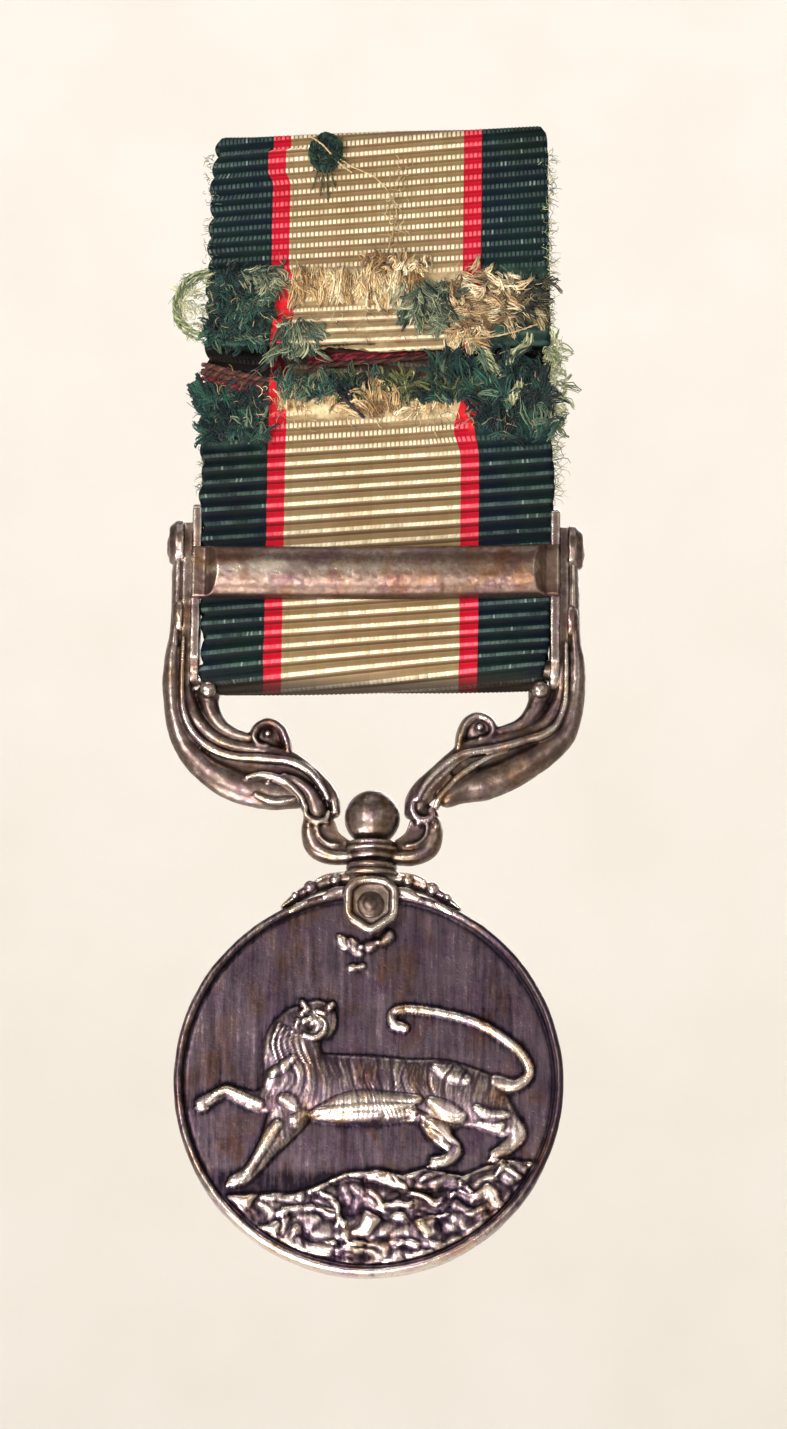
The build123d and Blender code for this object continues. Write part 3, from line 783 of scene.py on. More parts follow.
def rocky_ground(x, z):
    """Broken rock under the cat: packed boulders, a few long ledges and some proud stones."""
    line = np.interp(x, [-8.2, -6.8, -5.3, -3.3, -2.2, -1.0, 0.4, 1.6, 2.7, 4.4, 6.2, 8.2],
                     [-4.9, -5.3, -5.15, -5.1, -4.7, -4.15, -3.95, -4.2, -3.85, -4.2, -3.4, -3.6])
    mask = smooth_step(line - z, -0.02, 0.25)
    flat = flat_points(x, z)
    across, up = x + 0.4 * lattice_noise(flat, 0.8, 14), z + 0.4 * lattice_noise(flat, 0.8, 15)
    ground = 0.05 + 0.24 * boulders(across, up, 1.25, 12) + 0.15 * boulders(across, up, 0.6, 13)
    ledges = [[(-2.2, -5.0, .12), (-1.2, -4.45, .17), (-0.1, -4.2, .18), (0.9, -4.35, .18), (1.6, -4.8, .12)],
              [(-4.3, -6.5, .1), (-3.3, -6.2, .14), (-2.1, -6.05, .14), (-1.1, -6.35, .1)],
              [(-6.9, -5.55, .08), (-6.1, -5.4, .12), (-5.5, -5.45, .14)],
              [(4.0, -5.3, .12), (4.8, -5.0, .16), (5.6, -5.2, .14), (6.2, -5.7, .1)],
              [(5.9, -4.3, .1), (6.5, -4.15, .14), (7.1, -4.5, .1)],
              [(2.6, -6.9, .1), (3.2, -6.6, .15), (3.9, -6.4, .1)],
              [(-1.9, -5.3, .1), (-1.5, -5.9, .12), (-1.6, -6.5, .08)],
              [(2.0, -5.0, .12), (2.7, -5.4, .15), (3.4, -5.3, .1)],
              [(-5.2, -6.9, .1), (-4.8, -6.75, .15), (-4.4, -6.9, .1)],
              [(0.4, -5.2, .1), (1.1, -5.5, .13), (1.9, -5.9, .1)]]
    for ledge in ledges:
        ground = ground + 0.17 * stroke(across, up, swollen(ledge, 1.7), 1.0, 1.4)
    stones = [(-5.2, -5.5, .34), (-4.15, -5.25, .26), (-3.3, -5.55, .34), (-2.5, -5.2, .24), (0.0, -6.5, .38),
              (1.3, -6.4, .3), (-0.4, -7.4, .32), (3.1, -7.3, .34), (2.0, -7.45, .26), (2.35, -7.9, .26),
              (1.6, -7.6, .2), (2.7, -4.15, .24), (4.3, -4.6, .22), (4.9, -4.65, .22), (6.2, -3.75, .2),
              (0.8, -4.35, .22), (-6.4, -4.75, .24), (-1.7, -7.3, .24), (-3.1, -7.2, .26)]
    for sx, sz, radius in stones:
        away = np.hypot((across - sx) / 1.3, up - sz) / (1.25 * radius)
        ground = joined(ground, 0.48 * np.clip(1 - away**2, 0, 1) ** 0.6, 0.05)
    return mask * ground


def laurel_leaf(x, z, root, reach, heading, side):
    """A pointed leaf with a sunk midrib, from its root along its heading."""
    along = reach * np.array([side * cos(heading), sin(heading)])
    middle = root + 0.5 * along
    u = ((x - middle[0]) * along[0] + (z - middle[1]) * along[1]) / reach
    v = ((x - middle[0]) * -along[1] + (z - middle[1]) * along[0]) / reach
    width = 0.27 * np.clip(1 - (2 * u / reach) ** 2, 0, 1) ** 0.7
    inside = np.clip(1 - (v / np.maximum(width, 1e-3)) ** 2, 0, 1) * (width > 0.01)
    return 0.34 * inside**0.5 - 0.10 * hump(v, 0, 0.035) * (inside > 0.05)


def laurel_ring(x, z):
    """Two laurel branches that rise from a knot at the bottom, with berries, round a plain field."""
    relief = np.zeros_like(x)
    radius = 0.71 * disc_radius

    def on_ring(side, angle, out=0.0):
        return np.array([side * (radius + out) * sin(angle), -(radius + out) * cos(angle)])

    for side in (-1, 1):
        stem = [(*on_ring(side, a), 0.12) for a in np.linspace(0.08, 2.95, 26)]
        relief = np.maximum(relief, stroke(x, z, stem, 0.2, 0.8))
        for k in range(17):
            a = 0.22 + 0.165 * k
            for way in (-1, 1):
                leaf = laurel_leaf(x, z, on_ring(side, a), 1.35 - 0.022 * k, a + way * 0.55, side)
                relief = np.maximum(relief, leaf)
            if k % 3 == 1:
                berry = on_ring(side, a + 0.08, 0.75)
                away = np.hypot(x - berry[0], z - berry[1]) / 0.19
                relief = np.maximum(relief, 0.34 * np.clip(1 - away**2, 0, 1) ** 0.5)
    for side in (-1, 1):
        loop = [(0.0, -radius, 0.2), (side * 0.9, -radius - 0.35, 0.16), (side * 1.25, -radius - 0.05, 0.16),
                (side * 0.8, -radius + 0.25, 0.15), (0.0, -radius, 0.16)]
        tail = [(0.0, -radius, 0.14), (side * 0.5, -radius - 0.7, 0.16), (side * 1.1, -radius - 1.0, 0.1)]
        relief = joined(relief, stroke(x, z, loop, 0.42, 0.7), 0.02)
        relief = joined(relief, stroke(x, z, tail, 0.36, 0.7), 0.02)
    return relief


def disc_profile(rim_inside, front_steps, back_steps):
    """(radius, y) from the front's middle over the rim and edge to the back's middle."""
    sink = 0.46
    rim = [(rim_inside - 0.03, sink - 0.02), (rim_inside + 0.02, 0.26), (rim_inside + 0.06, 0.09),
           (rim_inside + 0.11, 0.01), (rim_inside + 0.18, -0.03), (rim_inside + 0.26, -0.01),
           (rim_inside + 0.33, 0.06), (rim_inside + 0.38, 0.14)]

    def face(steps):
        return [(r, sink) for r in np.linspace(0.03, rim_inside - 0.12, steps)] + rim

    front = [(r, -half_disc + d) for r, d in face(front_steps)]
    edge = [(disc_radius, y) for y in (-half_disc + 0.2, -0.25, 0.25, half_disc - 0.2)]
    return np.array(front + edge + [(r, half_disc - d) for r, d in reversed(face(back_steps))])


def front_relief(x, z):
    """The cat on its rocks, and the leaf scraps of the claw's foot below its plate."""
    cat, ground = big_cat(x, z), rocky_ground(x, z)
    relief = np.where(ground > 0.12, np.maximum(ground, 0.75 * cat), np.maximum(cat, ground))
    leaves = [[(-1.45, 6.75, 0.1), (-1.3, 6.5, 0.22), (-1.15, 6.25, 0.1)],
              [(-0.9, 6.6, 0.12), (-0.7, 6.25, 0.24), (-0.45, 6.0, 0.12)],
              [(-0.4, 6.3, 0.1), (0.0, 6.35, 0.2), (0.3, 6.55, 0.1)],
              [(0.45, 6.5, 0.1), (0.8, 6.75, 0.2), (0.9, 7.0, 0.1)],
              [(-0.9, 5.3, 0.12), (-0.75, 5.32, 0.14)], [(-0.5, 5.35, 0.1), (-0.35, 5.4, 0.12)]]
    for leaf in leaves:
        relief = relief + 0.15 * stroke(x, z, swollen(leaf, 1.5), 1.0, 1.4)
    return relief


def disc_tone(hollow, x, z, radius, rim_inside, raised, inner, is_front):
    """The silver's tone: a dark field and cracks, places rubbed bright that also carry painted highlights, a
    painted highlight on the rim low down and painted shade on the rim's right side.
    """
    field = (1 - smooth_step(raised, 0.04, 0.22)) * inner
    cracks = smooth_step(-z, 3.9, 4.6) * (1 - smooth_step(raised, 0.14, 0.36)) * inner * is_front
    hollow = hollow + 0.16 * field - 0.22 * smooth_step(raised, 0.36, 0.5) + 0.3 * cracks
    # places rubbed bright by wear, brightened further as painted highlights on raised parts
    wear_and_highlight_places = [((-0.3, -1.55), (2.2, 0.5), 0.42), ((3.5, -1.9), (0.9, 0.8), 0.25),
                     ((-2.5, 2.6), (0.5, 0.7), 0.2), ((-4.4, -5.5), (1.6, 0.5), 0.22),
                     ((0.6, -7.0), (2.6, 0.8), 0.2), ((-4.5, -3.4), (0.5, 1.2), 0.2),
                     ((-2.6, -7.5), (2.4, 0.6), 0.3)]
    for place, reach, rubbed in wear_and_highlight_places:
        near = hump(np.hypot((x - place[0]) / reach[0], (z - place[1]) / reach[1]), 0, 1) * is_front
        hollow = hollow - rubbed * near * smooth_step(raised, 0.2, 0.38)
    # painted highlight: the rim and its inner slope bright low down, most at the lower left
    painted_low_rim_highlight = smooth_step(-z / disc_radius, 0.35, 0.9) * (0.55 + 0.45 * hump(x, -2.0, 4.0))
    # painted shade: the rim darker towards the right
    painted_right_rim_shade = 0.22 * smooth_step(x / disc_radius, 0.3, 0.8)
    hollow = hollow - 0.5 * painted_low_rim_highlight * smooth_step(radius, rim_inside - 0.12, rim_inside)
    rim_tone = 0.62 + 0.4 * (hollow - 0.5) - 0.6 * painted_low_rim_highlight + painted_right_rim_shade
    return np.clip(np.where(radius > rim_inside + 0.08, rim_tone, hollow), 0, 1)


def make_disc(material):
    """The disc is one turned skin: front field, rim, edge, rim and back field, with the reliefs raised on it."""
    turns, front_steps, back_steps = 480, 98, 62
    rim_inside = disc_radius - 0.40
    profile = disc_profile(rim_inside, front_steps, back_steps)
    rings = len(profile)
    angle = np.linspace(0, 2 * pi, turns, endpoint=False)
    x = (profile[:, :1] * np.cos(angle)).ravel()
    z = (profile[:, :1] * np.sin(angle)).ravel()
    y = np.repeat(profile[:, 1], turns)
    radius = np.repeat(profile[:, 0], turns)
    is_front = np.arange(len(x)) < front_steps * turns
    is_back = np.arange(len(x)) >= (rings - back_steps) * turns
    inner = 1 - smooth_step(radius, rim_inside - 0.25, rim_inside - 0.02)
    raised = np.zeros_like(x)
    raised[is_front] = front_relief(x[is_front], z[is_front]) * inner[is_front]
    raised[is_back] = 0.95 * laurel_ring(x[is_back], z[is_back]) * inner[is_back]
    flat = flat_points(x, z)
    streaks = 0.014 * lattice_noise(flat * [3.2, 0, 0.35], 1.0, 21) + 0.02 * lattice_noise(flat, 1.6, 22)
    y += np.where(is_front, -1.0, np.where(is_back, 1.0, 0.0)) * (raised + streaks * inner)
    solid = np.stack([x, y, z], 1)
    wear = 0.02 * lattice_noise(solid, 1.2, 23) + 0.012 * lattice_noise(solid, 0.35, 24)
    on_rim = smooth_step(radius, rim_inside, rim_inside + 0.1)
    grow = 1 + on_rim * wear / disc_radius
    points = np.stack([x * grow, y + 0.4 * wear * on_rim * np.sign(y), z * grow], 1)
    faces = grid_faces(rings, turns)[:, [0, 3, 2, 1]]
    hollow = hollow_of(points, faces, ((3, 10.0), (12, 5.0)))
    hollow = disc_tone(hollow, x, z, radius, rim_inside, raised, inner, is_front)
    caps = [list(range(turns)), list(range((rings - 1) * turns, rings * turns))[::-1]]
    finish_piece("medal_disc_relief", points, faces.tolist() + caps, material, "medal",
                 ("medal_disc",), {"hollow": hollow})


# ---------------------------------------------------------------- suspender, claw and small fittings

def arm_point(side, x, z):
    """Where a point drawn on the right-hand arm lies on either arm. The right arm is bent up a little."""
    if side < 0:
        return -x, z
    rise = 0.42 * smooth_step(x, 2.9, 4.6) * (1 - 0.55 * smooth_step(z, 17.2, 18.8))
    rise = (rise + 0.42 * hump(x, 7.4, 1.9) * smooth_step(z, 16.6, 15.2)) * (1 - smooth_step(z, 19.0, 20.5))
    return x, z + float(rise)


def knob(casting, side, centre, radius, depth=None):
    x, z = arm_point(side, centre[0], centre[2])
    casting.ball((x, centre[1], z), radius, depth)


def on_arm(side, line):
    return [(*arm_point(side, x, z), radius) for x, z, radius in line]


def band(casting, side, line, depth):
    """A band through the arm's middle, seen on both faces; line holds (x, height, radius)."""
    casting.ridge(on_arm(side, line), 0.0, depth, sides=20)


def bead(casting, side, line, y, depth=None):
    """A narrow ridge laid on both faces at y; line holds (x, height, radius)."""
    for face in (-1, 1):
        casting.ridge(on_arm(side, line), face * y, depth, sides=12)


def plate(casting, side, outline, half_depth):
    """A flat web in the arm's middle; outline holds (x, height) as drawn for the right-hand arm."""
    outline = [arm_point(side, x, z) for x, z in outline]
    casting.prism(outline[::-1] if side > 0 else outline, -half_depth, half_depth)


def scroll_arm(casting, side):
    """One arm of the suspender, drawn for the right-hand side and turned over for the left."""
    band(casting, side, [(9.34, 25.2, .18), (9.37, 24.4, .28), (9.37, 23.2, .30), (9.38, 22.2, .30),
                         (9.44, 21.1, .32), (9.52, 20.2, .40), (9.53, 18.8, .46), (9.38, 17.4, .50),
                         (9.05, 16.3, .54), (8.5, 15.4, .60), (7.75, 14.7, .68), (6.9, 14.2, .76),
                         (6.1, 13.88, .80), (5.3, 13.72, .80), (4.6, 13.6, .76), (4.0, 13.55, .66),
                         (3.5, 13.45, .52)], 0.62)
    band(casting, side, [(8.88, 20.4, .20), (8.85, 19.5, .28), (8.78, 18.3, .34), (8.55, 17.45, .38),
                         (8.05, 16.7, .42), (7.3, 16.08, .42), (6.4, 15.78, .38), (5.4, 15.66, .36),
                         (4.4, 15.5, .34), (3.5, 15.12, .33), (2.8, 14.55, .34), (2.2, 13.95, .33),
                         (1.84, 13.35, .30), (1.74, 12.75, .26)], 0.58)
    bead(casting, side, [(9.02, 20.9, .10), (9.04, 19.6, .13), (9.02, 18.2, .16), (8.93, 17.4, .18),
                         (8.58, 16.55, .2), (7.98, 15.9, .21), (7.2, 15.46, .21), (6.3, 15.24, .21),
                         (5.2, 15.2, .21), (4.2, 15.13, .21), (3.6, 14.97, .21), (3.1, 14.7, .2),
                         (2.68, 14.28, .18), (2.35, 13.8, .15), (2.1, 13.3, .11)], 0.56, 0.22)
    # thin web behind the bands
    web = [(9.3, 20.4), (9.35, 18.2), (8.95, 16.6), (8.2, 15.4), (7.0, 14.6), (5.5, 14.1), (4.0, 13.9),
           (3.1, 13.6), (2.7, 13.5), (2.4, 13.9), (3.2, 15.0), (4.4, 15.6), (6.2, 15.9), (7.4, 16.4),
           (8.3, 17.2), (8.75, 18.4), (8.8, 20.4)]
    plate(casting, side, web, 0.3)
    # stem with the round end that tucks under the ribbon, and the valley's lit lip
    band(casting, side, [(7.8, 18.1, .48), (7.68, 17.6, .46), (7.5, 17.2, .44), (7.2, 16.8, .42),
                         (6.75, 16.5, .38), (6.2, 16.3, .33), (5.7, 16.2, .2)], 0.52)
    knob(casting, side, (7.82, 0.0, 18.36), 0.56, 0.80)
    for face in (-1, 1):
        knob(casting, side, (7.80, face * 0.78, 18.42), 0.40, 0.34)
    bead(casting, side, [(7.3, 17.3, .07), (7.08, 16.85, .1), (6.75, 16.6, .11), (6.4, 16.5, .08)], 0.42)
    # volute rolled over the top, with a ball at its eye
    knob(casting, side, (5.0, 0.0, 16.38), 0.72, 0.40)
    band(casting, side, [(3.98, 15.5, .2), (4.1, 16.1, .25), (4.38, 16.68, .27), (4.92, 16.97, .27),
                         (5.45, 16.74, .26), (5.62, 16.25, .24), (5.38, 15.88, .2), (4.98, 15.82, .17)], 0.62)
    knob(casting, side, (4.97, 0.0, 16.4), 0.25, 0.74)
    # foot beside the collar, with two small pearls
    band(casting, side, [(2.95, 12.3, .3), (2.9, 11.7, .42), (2.65, 11.1, .48), (2.1, 10.72, .42),
                         (1.4, 10.6, .34), (0.8, 10.65, .3)], 0.6)
    web = [(0.0, 10.45), (1.5, 10.5), (2.3, 10.7), (2.85, 11.2), (3.05, 11.9), (2.9, 12.5), (2.1, 12.75),
           (1.75, 12.3), (1.55, 11.75), (0.9, 11.2), (0.0, 11.1)]
    plate(casting, side, web, 0.42)
    bead(casting, side, [(2.6, 12.2, .1), (2.5, 11.6, .13), (2.1, 11.2, .13), (1.6, 11.1, .1)], 0.42, 0.2)
    knob(casting, side, (2.98, 0.0, 12.05), 0.2, 0.74)
    knob(casting, side, (2.15, 0.0, 12.2), 0.24, 0.72)
    # upper strap, along the ribbon's edge
    inside, low, high = 8.7, 18.7, 26.6
    strap = [(inside, low), (strap_outside, low), (strap_outside, high), (inside, high)]
    strap = [(side * x, z) for x, z in strap]
    casting.prism(strap[::-1] if side > 0 else strap, -0.62, 0.62)


def left_leaf(casting):
    """The left arm ends in a tongue, behind a cusp with a hollow eye."""
    bead(casting, -1, [(5.9, 14.25, .12), (5.2, 14.42, .16), (4.4, 14.25, .18), (3.8, 13.85, .18),
                       (3.35, 13.35, .16), (3.2, 12.95, .12)], 0.52, 0.2)
    bead(casting, -1, [(5.5, 13.45, .14), (4.9, 13.2, .17), (4.3, 13.15, .18), (3.7, 13.25, .14)], 0.5, 0.2)
    band(casting, -1, [(4.2, 14.4, .2), (3.55, 14.12, .3), (2.98, 13.65, .4), (2.68, 13.1, .48),
                       (2.6, 12.7, .5)], 0.66)
    bead(casting, -1, [(3.12, 12.95, .1), (3.08, 12.5, .14), (2.65, 12.22, .15), (2.2, 12.3, .14),
                       (2.05, 12.65, .1)], 0.6)
    casting.ball((-4.9, 0.0, 14.08), 0.13, 0.72)


def right_leaf(casting):
    """The right arm ends in three flutes that run into a small curl."""
    bead(casting, 1, [(4.6, 15.0, .08), (3.9, 14.8, .12), (3.2, 14.35, .13), (2.7, 13.85, .12),
                      (2.4, 13.4, .1)], 0.56)
    bead(casting, 1, [(5.5, 14.85, .09), (4.6, 14.42, .15), (3.8, 13.95, .16), (3.15, 13.4, .14),
                      (2.95, 13.0, .1)], 0.55)
    bead(casting, 1, [(6.3, 14.95, .08), (5.5, 14.82, .13), (4.9, 14.55, .13), (4.2, 14.1, .1)], 0.58)
    band(casting, 1, [(3.6, 14.3, .25), (2.95, 13.9, .3), (2.4, 13.4, .32), (2.15, 12.9, .3)], 0.56)
    bead(casting, 1, [(2.35, 14.0, .12), (1.98, 13.4, .14), (1.86, 12.88, .15), (2.05, 12.46, .17),
                      (2.42, 12.32, .18), (2.76, 12.5, .16), (2.74, 12.85, .12)], 0.54)
    casting.ball((2.6, 0.0, 12.6), 0.55, 0.45)


def make_suspender(material):
    casting = Casting()
    for side in (-1, 1):
        scroll_arm(casting, side)
    left_leaf(casting)
    right_leaf(casting)
    # ringed boss for the swivel pin, cupped under the ball
    casting.ring(10.64, 0.62, 0.52, 0.25)
    casting.ring(10.95, 0.86, 0.46, 0.15)
    casting.ring(11.22, 0.82, 0.46, 0.14)
    cast_piece("suspender_scrolls", casting, 0.067, material, "suspension", "suspender", seed=31, dents=0.028,
               tone=0.04)


def smooth_corners(outline, steps=5):
    """The closed outline with its corners rounded."""
    points = np.asarray(outline, float)
    out = []
    for i in range(len(points)):
        a, b, c = points[i - 1], points[i], points[(i + 1) % len(points)]
        start, end = b + 0.22 * (a - b), b + 0.22 * (c - b)
        for t in np.linspace(0, 1, steps):
            out.append(tuple((1 - t) ** 2 * start + 2 * t * (1 - t) * b + t**2 * end))
    return out


def claw_shoulder(casting, side):
    """A leaf scroll with berries and a vein, and scraps of leaf folded on to the disc's rim."""
    def turned(line):
        return [(side * x, z, radius) for x, z, radius in line]

    casting.ridge(turned([(0.8, 9.55, .34), (1.6, 9.5, .38), (2.3, 9.28, .34), (2.9, 9.0, .3), (3.5, 8.62, .26),
                          (4.08, 8.2, .14)]), 0.0, 0.62)
    for face in (-1, 1):
        for x, z, radius in turned([(1.7, 9.45, .28), (2.85, 9.08, .32), (3.55, 8.66, .2)]):
            casting.ball((x, face * 0.52, z), radius, 0.32)
        casting.ridge(turned([(1.3, 9.75, .09), (2.0, 9.62, .12), (2.5, 9.4, .1)]), face * 0.6, per_span=6)
    for scrap in ([(1.2, 8.95, .16), (1.7, 8.8, .26), (2.15, 8.55, .16)],
                  [(3.0, 8.3, .1), (3.4, 8.1, .18), (3.75, 7.85, .1)]):
        for face in (-1, 1):
            casting.ridge(turned(scrap), face * (half_disc + 0.02), 0.13)


def make_claw(material):
    """A shield-shaped plate on each face of the disc, with a raised border, and a leafy shoulder at each side."""
    casting = Casting()
    half, top, point, shoulder_height = 1.28, 9.55, 6.78, 7.6
    shield = [(-half, 9.0), (-0.85, 9.42), (-0.35, top), (0.35, top), (0.85, 9.42), (half, 9.0),
              (half, shoulder_height), (0.0, point), (-half, shoulder_height)]
    border = smooth_corners([(x * 0.84, 8.25 + (z - 8.25) * 0.87) for x, z in shield])
    for face in (-1, 1):
        casting.prism(shield, *sorted((face * (half_disc - 0.2), face * (half_disc + 0.14))))
        casting.rod([(x, face * (half_disc + 0.16), z) for x, z in border], 0.22, 0.26, closed=True)
    for side in (-1, 1):
        claw_shoulder(casting, side)
    casting.rod([(0.0, 0.0, 9.3), (0.0, 0.0, 9.5)], 1.3, 1.0, sides=28)
    cast_piece("claw_cast", casting, 0.05, material, "medal", "claw", seed=41, tone=-0.10)


def make_claw_rivet(material):
    casting = Casting()
    low, high = local_box("claw_rivet")
    height = (low[2] + high[2]) / 2 - 0.05
    for face in (-1, 1):
        casting.ball((0.0, face * (half_disc + 0.16), height), 0.66, 0.20)
        casting.ball((-0.04, face * (half_disc + 0.26), height), 0.36, 0.17)
    casting.rod([(0.0, -0.6, height), (0.0, 0.6, height)], 0.3)
    cast_piece("claw_rivet_heads", casting, 0.045, material, "medal", "claw_rivet", seed=45, tone=0.16)


def make_swivel(material):
    casting = Casting()
    casting.node("swivel_pin")
    low, high = local_box("swivel_pin")
    radius = (high[0] - low[0]) / 2
    casting.ball((0.0, 0.0, high[2] - radius), radius + 0.02)
    cast_piece("swivel_ball", casting, 0.055, material, "medal", "swivel_pin", rounds=3, dents=0.012, seed=51)
    collar = Casting()
    low, high = local_box("swivel_collar")
    for share, radius, thick in ((0.2, 1.02, 0.32), (0.75, 0.86, 0.24)):
        collar.ring(low[2] + share * (high[2] - low[2]), radius, thick, 0.13)
    collar.node("swivel_collar")
    cast_piece("swivel_collar_rings", collar, 0.045, material, "medal", "swivel_collar",
               rounds=1, dents=0.012, seed=53)


def box_walls(columns, rows):
    """Walls between a front grid and the back grid stored after it, all round."""
    n = columns * rows
    walls = []
    for i in range(columns - 1):
        walls.append((i * rows, n + i * rows, n + (i + 1) * rows, (i + 1) * rows))
        a, b = i * rows + rows - 1, (i + 1) * rows + rows - 1
        walls.append((a, b, n + b, n + a))
    for k in range(rows - 1):
        walls.append((k, k + 1, n + k + 1, n + k))
        a = (columns - 1) * rows + k
        walls.append((a, n + a, n + a + 1, a + 1))
    return np.array(walls)


def clasp_wear_and_highlight(x, t, flat):
    """1 along the clasp's crest where it is rubbed bright and carries a painted highlight, most of all at the left.
    """
    rubbed = hump(t, 0.02, 0.20) * (0.35 + 0.65 * smooth_step(-x, -2.0, 6.0))
    rubbed = rubbed + 0.7 * hump(t, 0.22, 0.15) * hump(x, -5.3, 1.7)
    return rubbed * (0.75 + 0.35 * lattice_noise(flat, 0.5, 64))


def make_clasp(material):
    """A half-round bar with mitred ends between two flat end plates, a little bowed along its length."""
    low, high = local_box("clasp_bar")
    columns, rows = 360, 50
    reach, back = high[0], high[1]
    half = (high[2] - low[2]) / 2
    flange, body_end, blend = 0.3, 8.0, 0.02
    x, t = np.meshgrid(np.linspace(-reach, reach, columns), np.linspace(-1, 1, rows), indexing="ij")
    x, t = x.ravel(), t.ravel()
    bow = 0.10 * (1 - (x / reach) ** 2)
    z = (high[2] + low[2]) / 2 + half * t - bow + 0.16 * x / reach
    # the lower of the round bar and its mitred end, eased where they meet
    round_part = 0.67 * np.clip(1 - np.abs(t / 0.985) ** 2.1, 0, 1) ** 0.5
    mitre = np.clip(body_end - np.abs(x), 0, None) * 1.25
    proud = np.clip(-np.log(np.exp(-round_part / blend) + np.exp(-mitre / blend)) * blend, 0, None)
    lip = 0.05 * hump(np.abs(x), body_end - 0.02, 0.09) * (np.abs(t) < 0.97)
    corner = np.minimum(1, np.minimum((reach - np.abs(x)) / 0.08, (1 - np.abs(t)) * half / 0.08)) ** 0.5
    flat = flat_points(x, z)
    dents = lattice_noise(flat, 0.9, 61) + 0.6 * lattice_noise(flat * [1, 1, 1.5], 0.3, 62)
    waves = lattice_noise(flat * [1, 0, 0.3], 2.6, 63)
    front = back - flange * np.clip(corner, 0.25, 1) - proud - lip
    front = front - 0.014 * dents - 0.02 * waves * (proud > 0.1)
    points = np.vstack([np.stack([x, front, z], 1), np.stack([x, np.full_like(x, back), z], 1)])
    n = columns * rows
    quads = grid_faces(columns, rows, wrap_columns=False)[:, [0, 3, 2, 1]]
    faces = np.vstack([quads, n + quads[:, ::-1], box_walls(columns, rows)])
    hollow = hollow_of(points, faces, ((4, 5.0), (10, 2.5)))
    # painted highlight along the crest, together with its rubbed wear
    rubbed = clasp_wear_and_highlight(x, t, flat) * (np.abs(x) < body_end)
    # darker towards the top and bottom edges
    clasp_edge_darkening = smooth_step(np.abs(t), 0.55, 1.0) * 0.25
    hollow[:n] = np.clip(hollow[:n] + 0.06 - 0.46 * rubbed + clasp_edge_darkening, 0, 1)
    finish_piece("clasp_bar_worn", points, faces, material, "suspension", ("clasp_bar",),
                 {"hollow": hollow})


def make_side_plates(material):
    for name, seed in (("side_plate_left", 71), ("side_plate_right", 73)):
        casting = Casting()
        casting.node(name)
        cast_piece(name + "_worn", casting, 0.06, material, "suspension", name, rounds=3,
                   dents=0.025, seed=seed)


def make_rivets(material):
    """Domed knobs, a little lumpy, at the ends of the shanks through the straps and side plates."""
    for name, lumps, seed in (("upper_rivets", 7, 81), ("lower_rivets", 6, 85)):
        low, high = local_box(name)
        casting = Casting()
        casting.node(name)
        height = (low[2] + high[2]) / 2
        radius = (high[2] - low[2]) / 2
        inner = strap_outside
        deep = high[0] - inner
        for side in (-1, 1):
            casting.ball((side * (inner + 0.42 * deep), 0.0, height), 0.98 * radius, 0.98 * radius, 0.62 * deep)
            casting.ball((side * (inner + 0.75 * deep), 0.0, height - 0.08 * radius), 0.6 * radius, 0.6 * radius,
                         0.42 * deep)
            for k in range(lumps):
                a = 2 * pi * k / lumps + 0.3 + 0.2 * side
                around, up = 0.7 * radius * cos(a), 0.7 * radius * sin(a)
                casting.ball((side * (inner + 0.5 * deep), around, height + up), 0.2)
        cast_piece(name + "_knobs", casting, 0.055, material, "suspension", name,
                   rounds=3, dents=0.04, seed=seed)


# ---------------------------------------------------------------- ribbon

bar_lean = tan(radians(1.5))
ribbon_lean = tan(radians(2.9))


def ribbon_path():
    """The middle line of the strip in the YZ plane, from the front tail's end over the top fold, down the back,
    round the bar and up the front again: (y, height) points 0.01 mm apart or so, and their arc lengths."""
    upper_low, upper_high = local_box("ribbon_upper")
    _, lower_high = local_box("ribbon_lower")
    bar_low, bar_high = local_box("ribbon_bar")
    half = ribbon_thickness / 2
    fold, wrap = upper_high[1] - half, lower_high[1] - half
    lower_end, slant_top, slant_low = 34.2, 32.8, 27.0

    def arc(radius, height, start, end):
        return [(radius * cos(a), height + radius * sin(a)) for a in np.linspace(start, end, 60)]

    points = [(-fold, upper_low[2])] + arc(fold, upper_high[2] - half - fold, pi, 0)
    points += [(fold, slant_top), (wrap, slant_low)] + arc(wrap, (bar_low[2] + bar_high[2]) / 2, 0, -pi)
    points += [(-wrap, slant_low), (-fold, slant_top), (-fold, lower_end)]
    points = np.array(points)
    step = np.concatenate([[0], np.cumsum(np.hypot(*np.diff(points, axis=0).T))])
    fine = np.arange(0, step[-1], 0.01)
    line = np.stack([np.interp(fine, step, points[:, k]) for k in (0, 1)], 1)
    kernel = np.hanning(81)
    kernel /= kernel.sum()
    padded = np.pad(line, ((40, 40), (0, 0)), mode="reflect", reflect_type="odd")
    return np.stack([np.convolve(padded[:, k], kernel, "valid") for k in (0, 1)], 1), fine


def evened(values, reach):
    """Each value replaced by the mean of those up to reach places away."""
    count = 2 * reach + 1
    return np.convolve(np.pad(values, reach, mode="edge"), np.ones(count) / count, "valid")


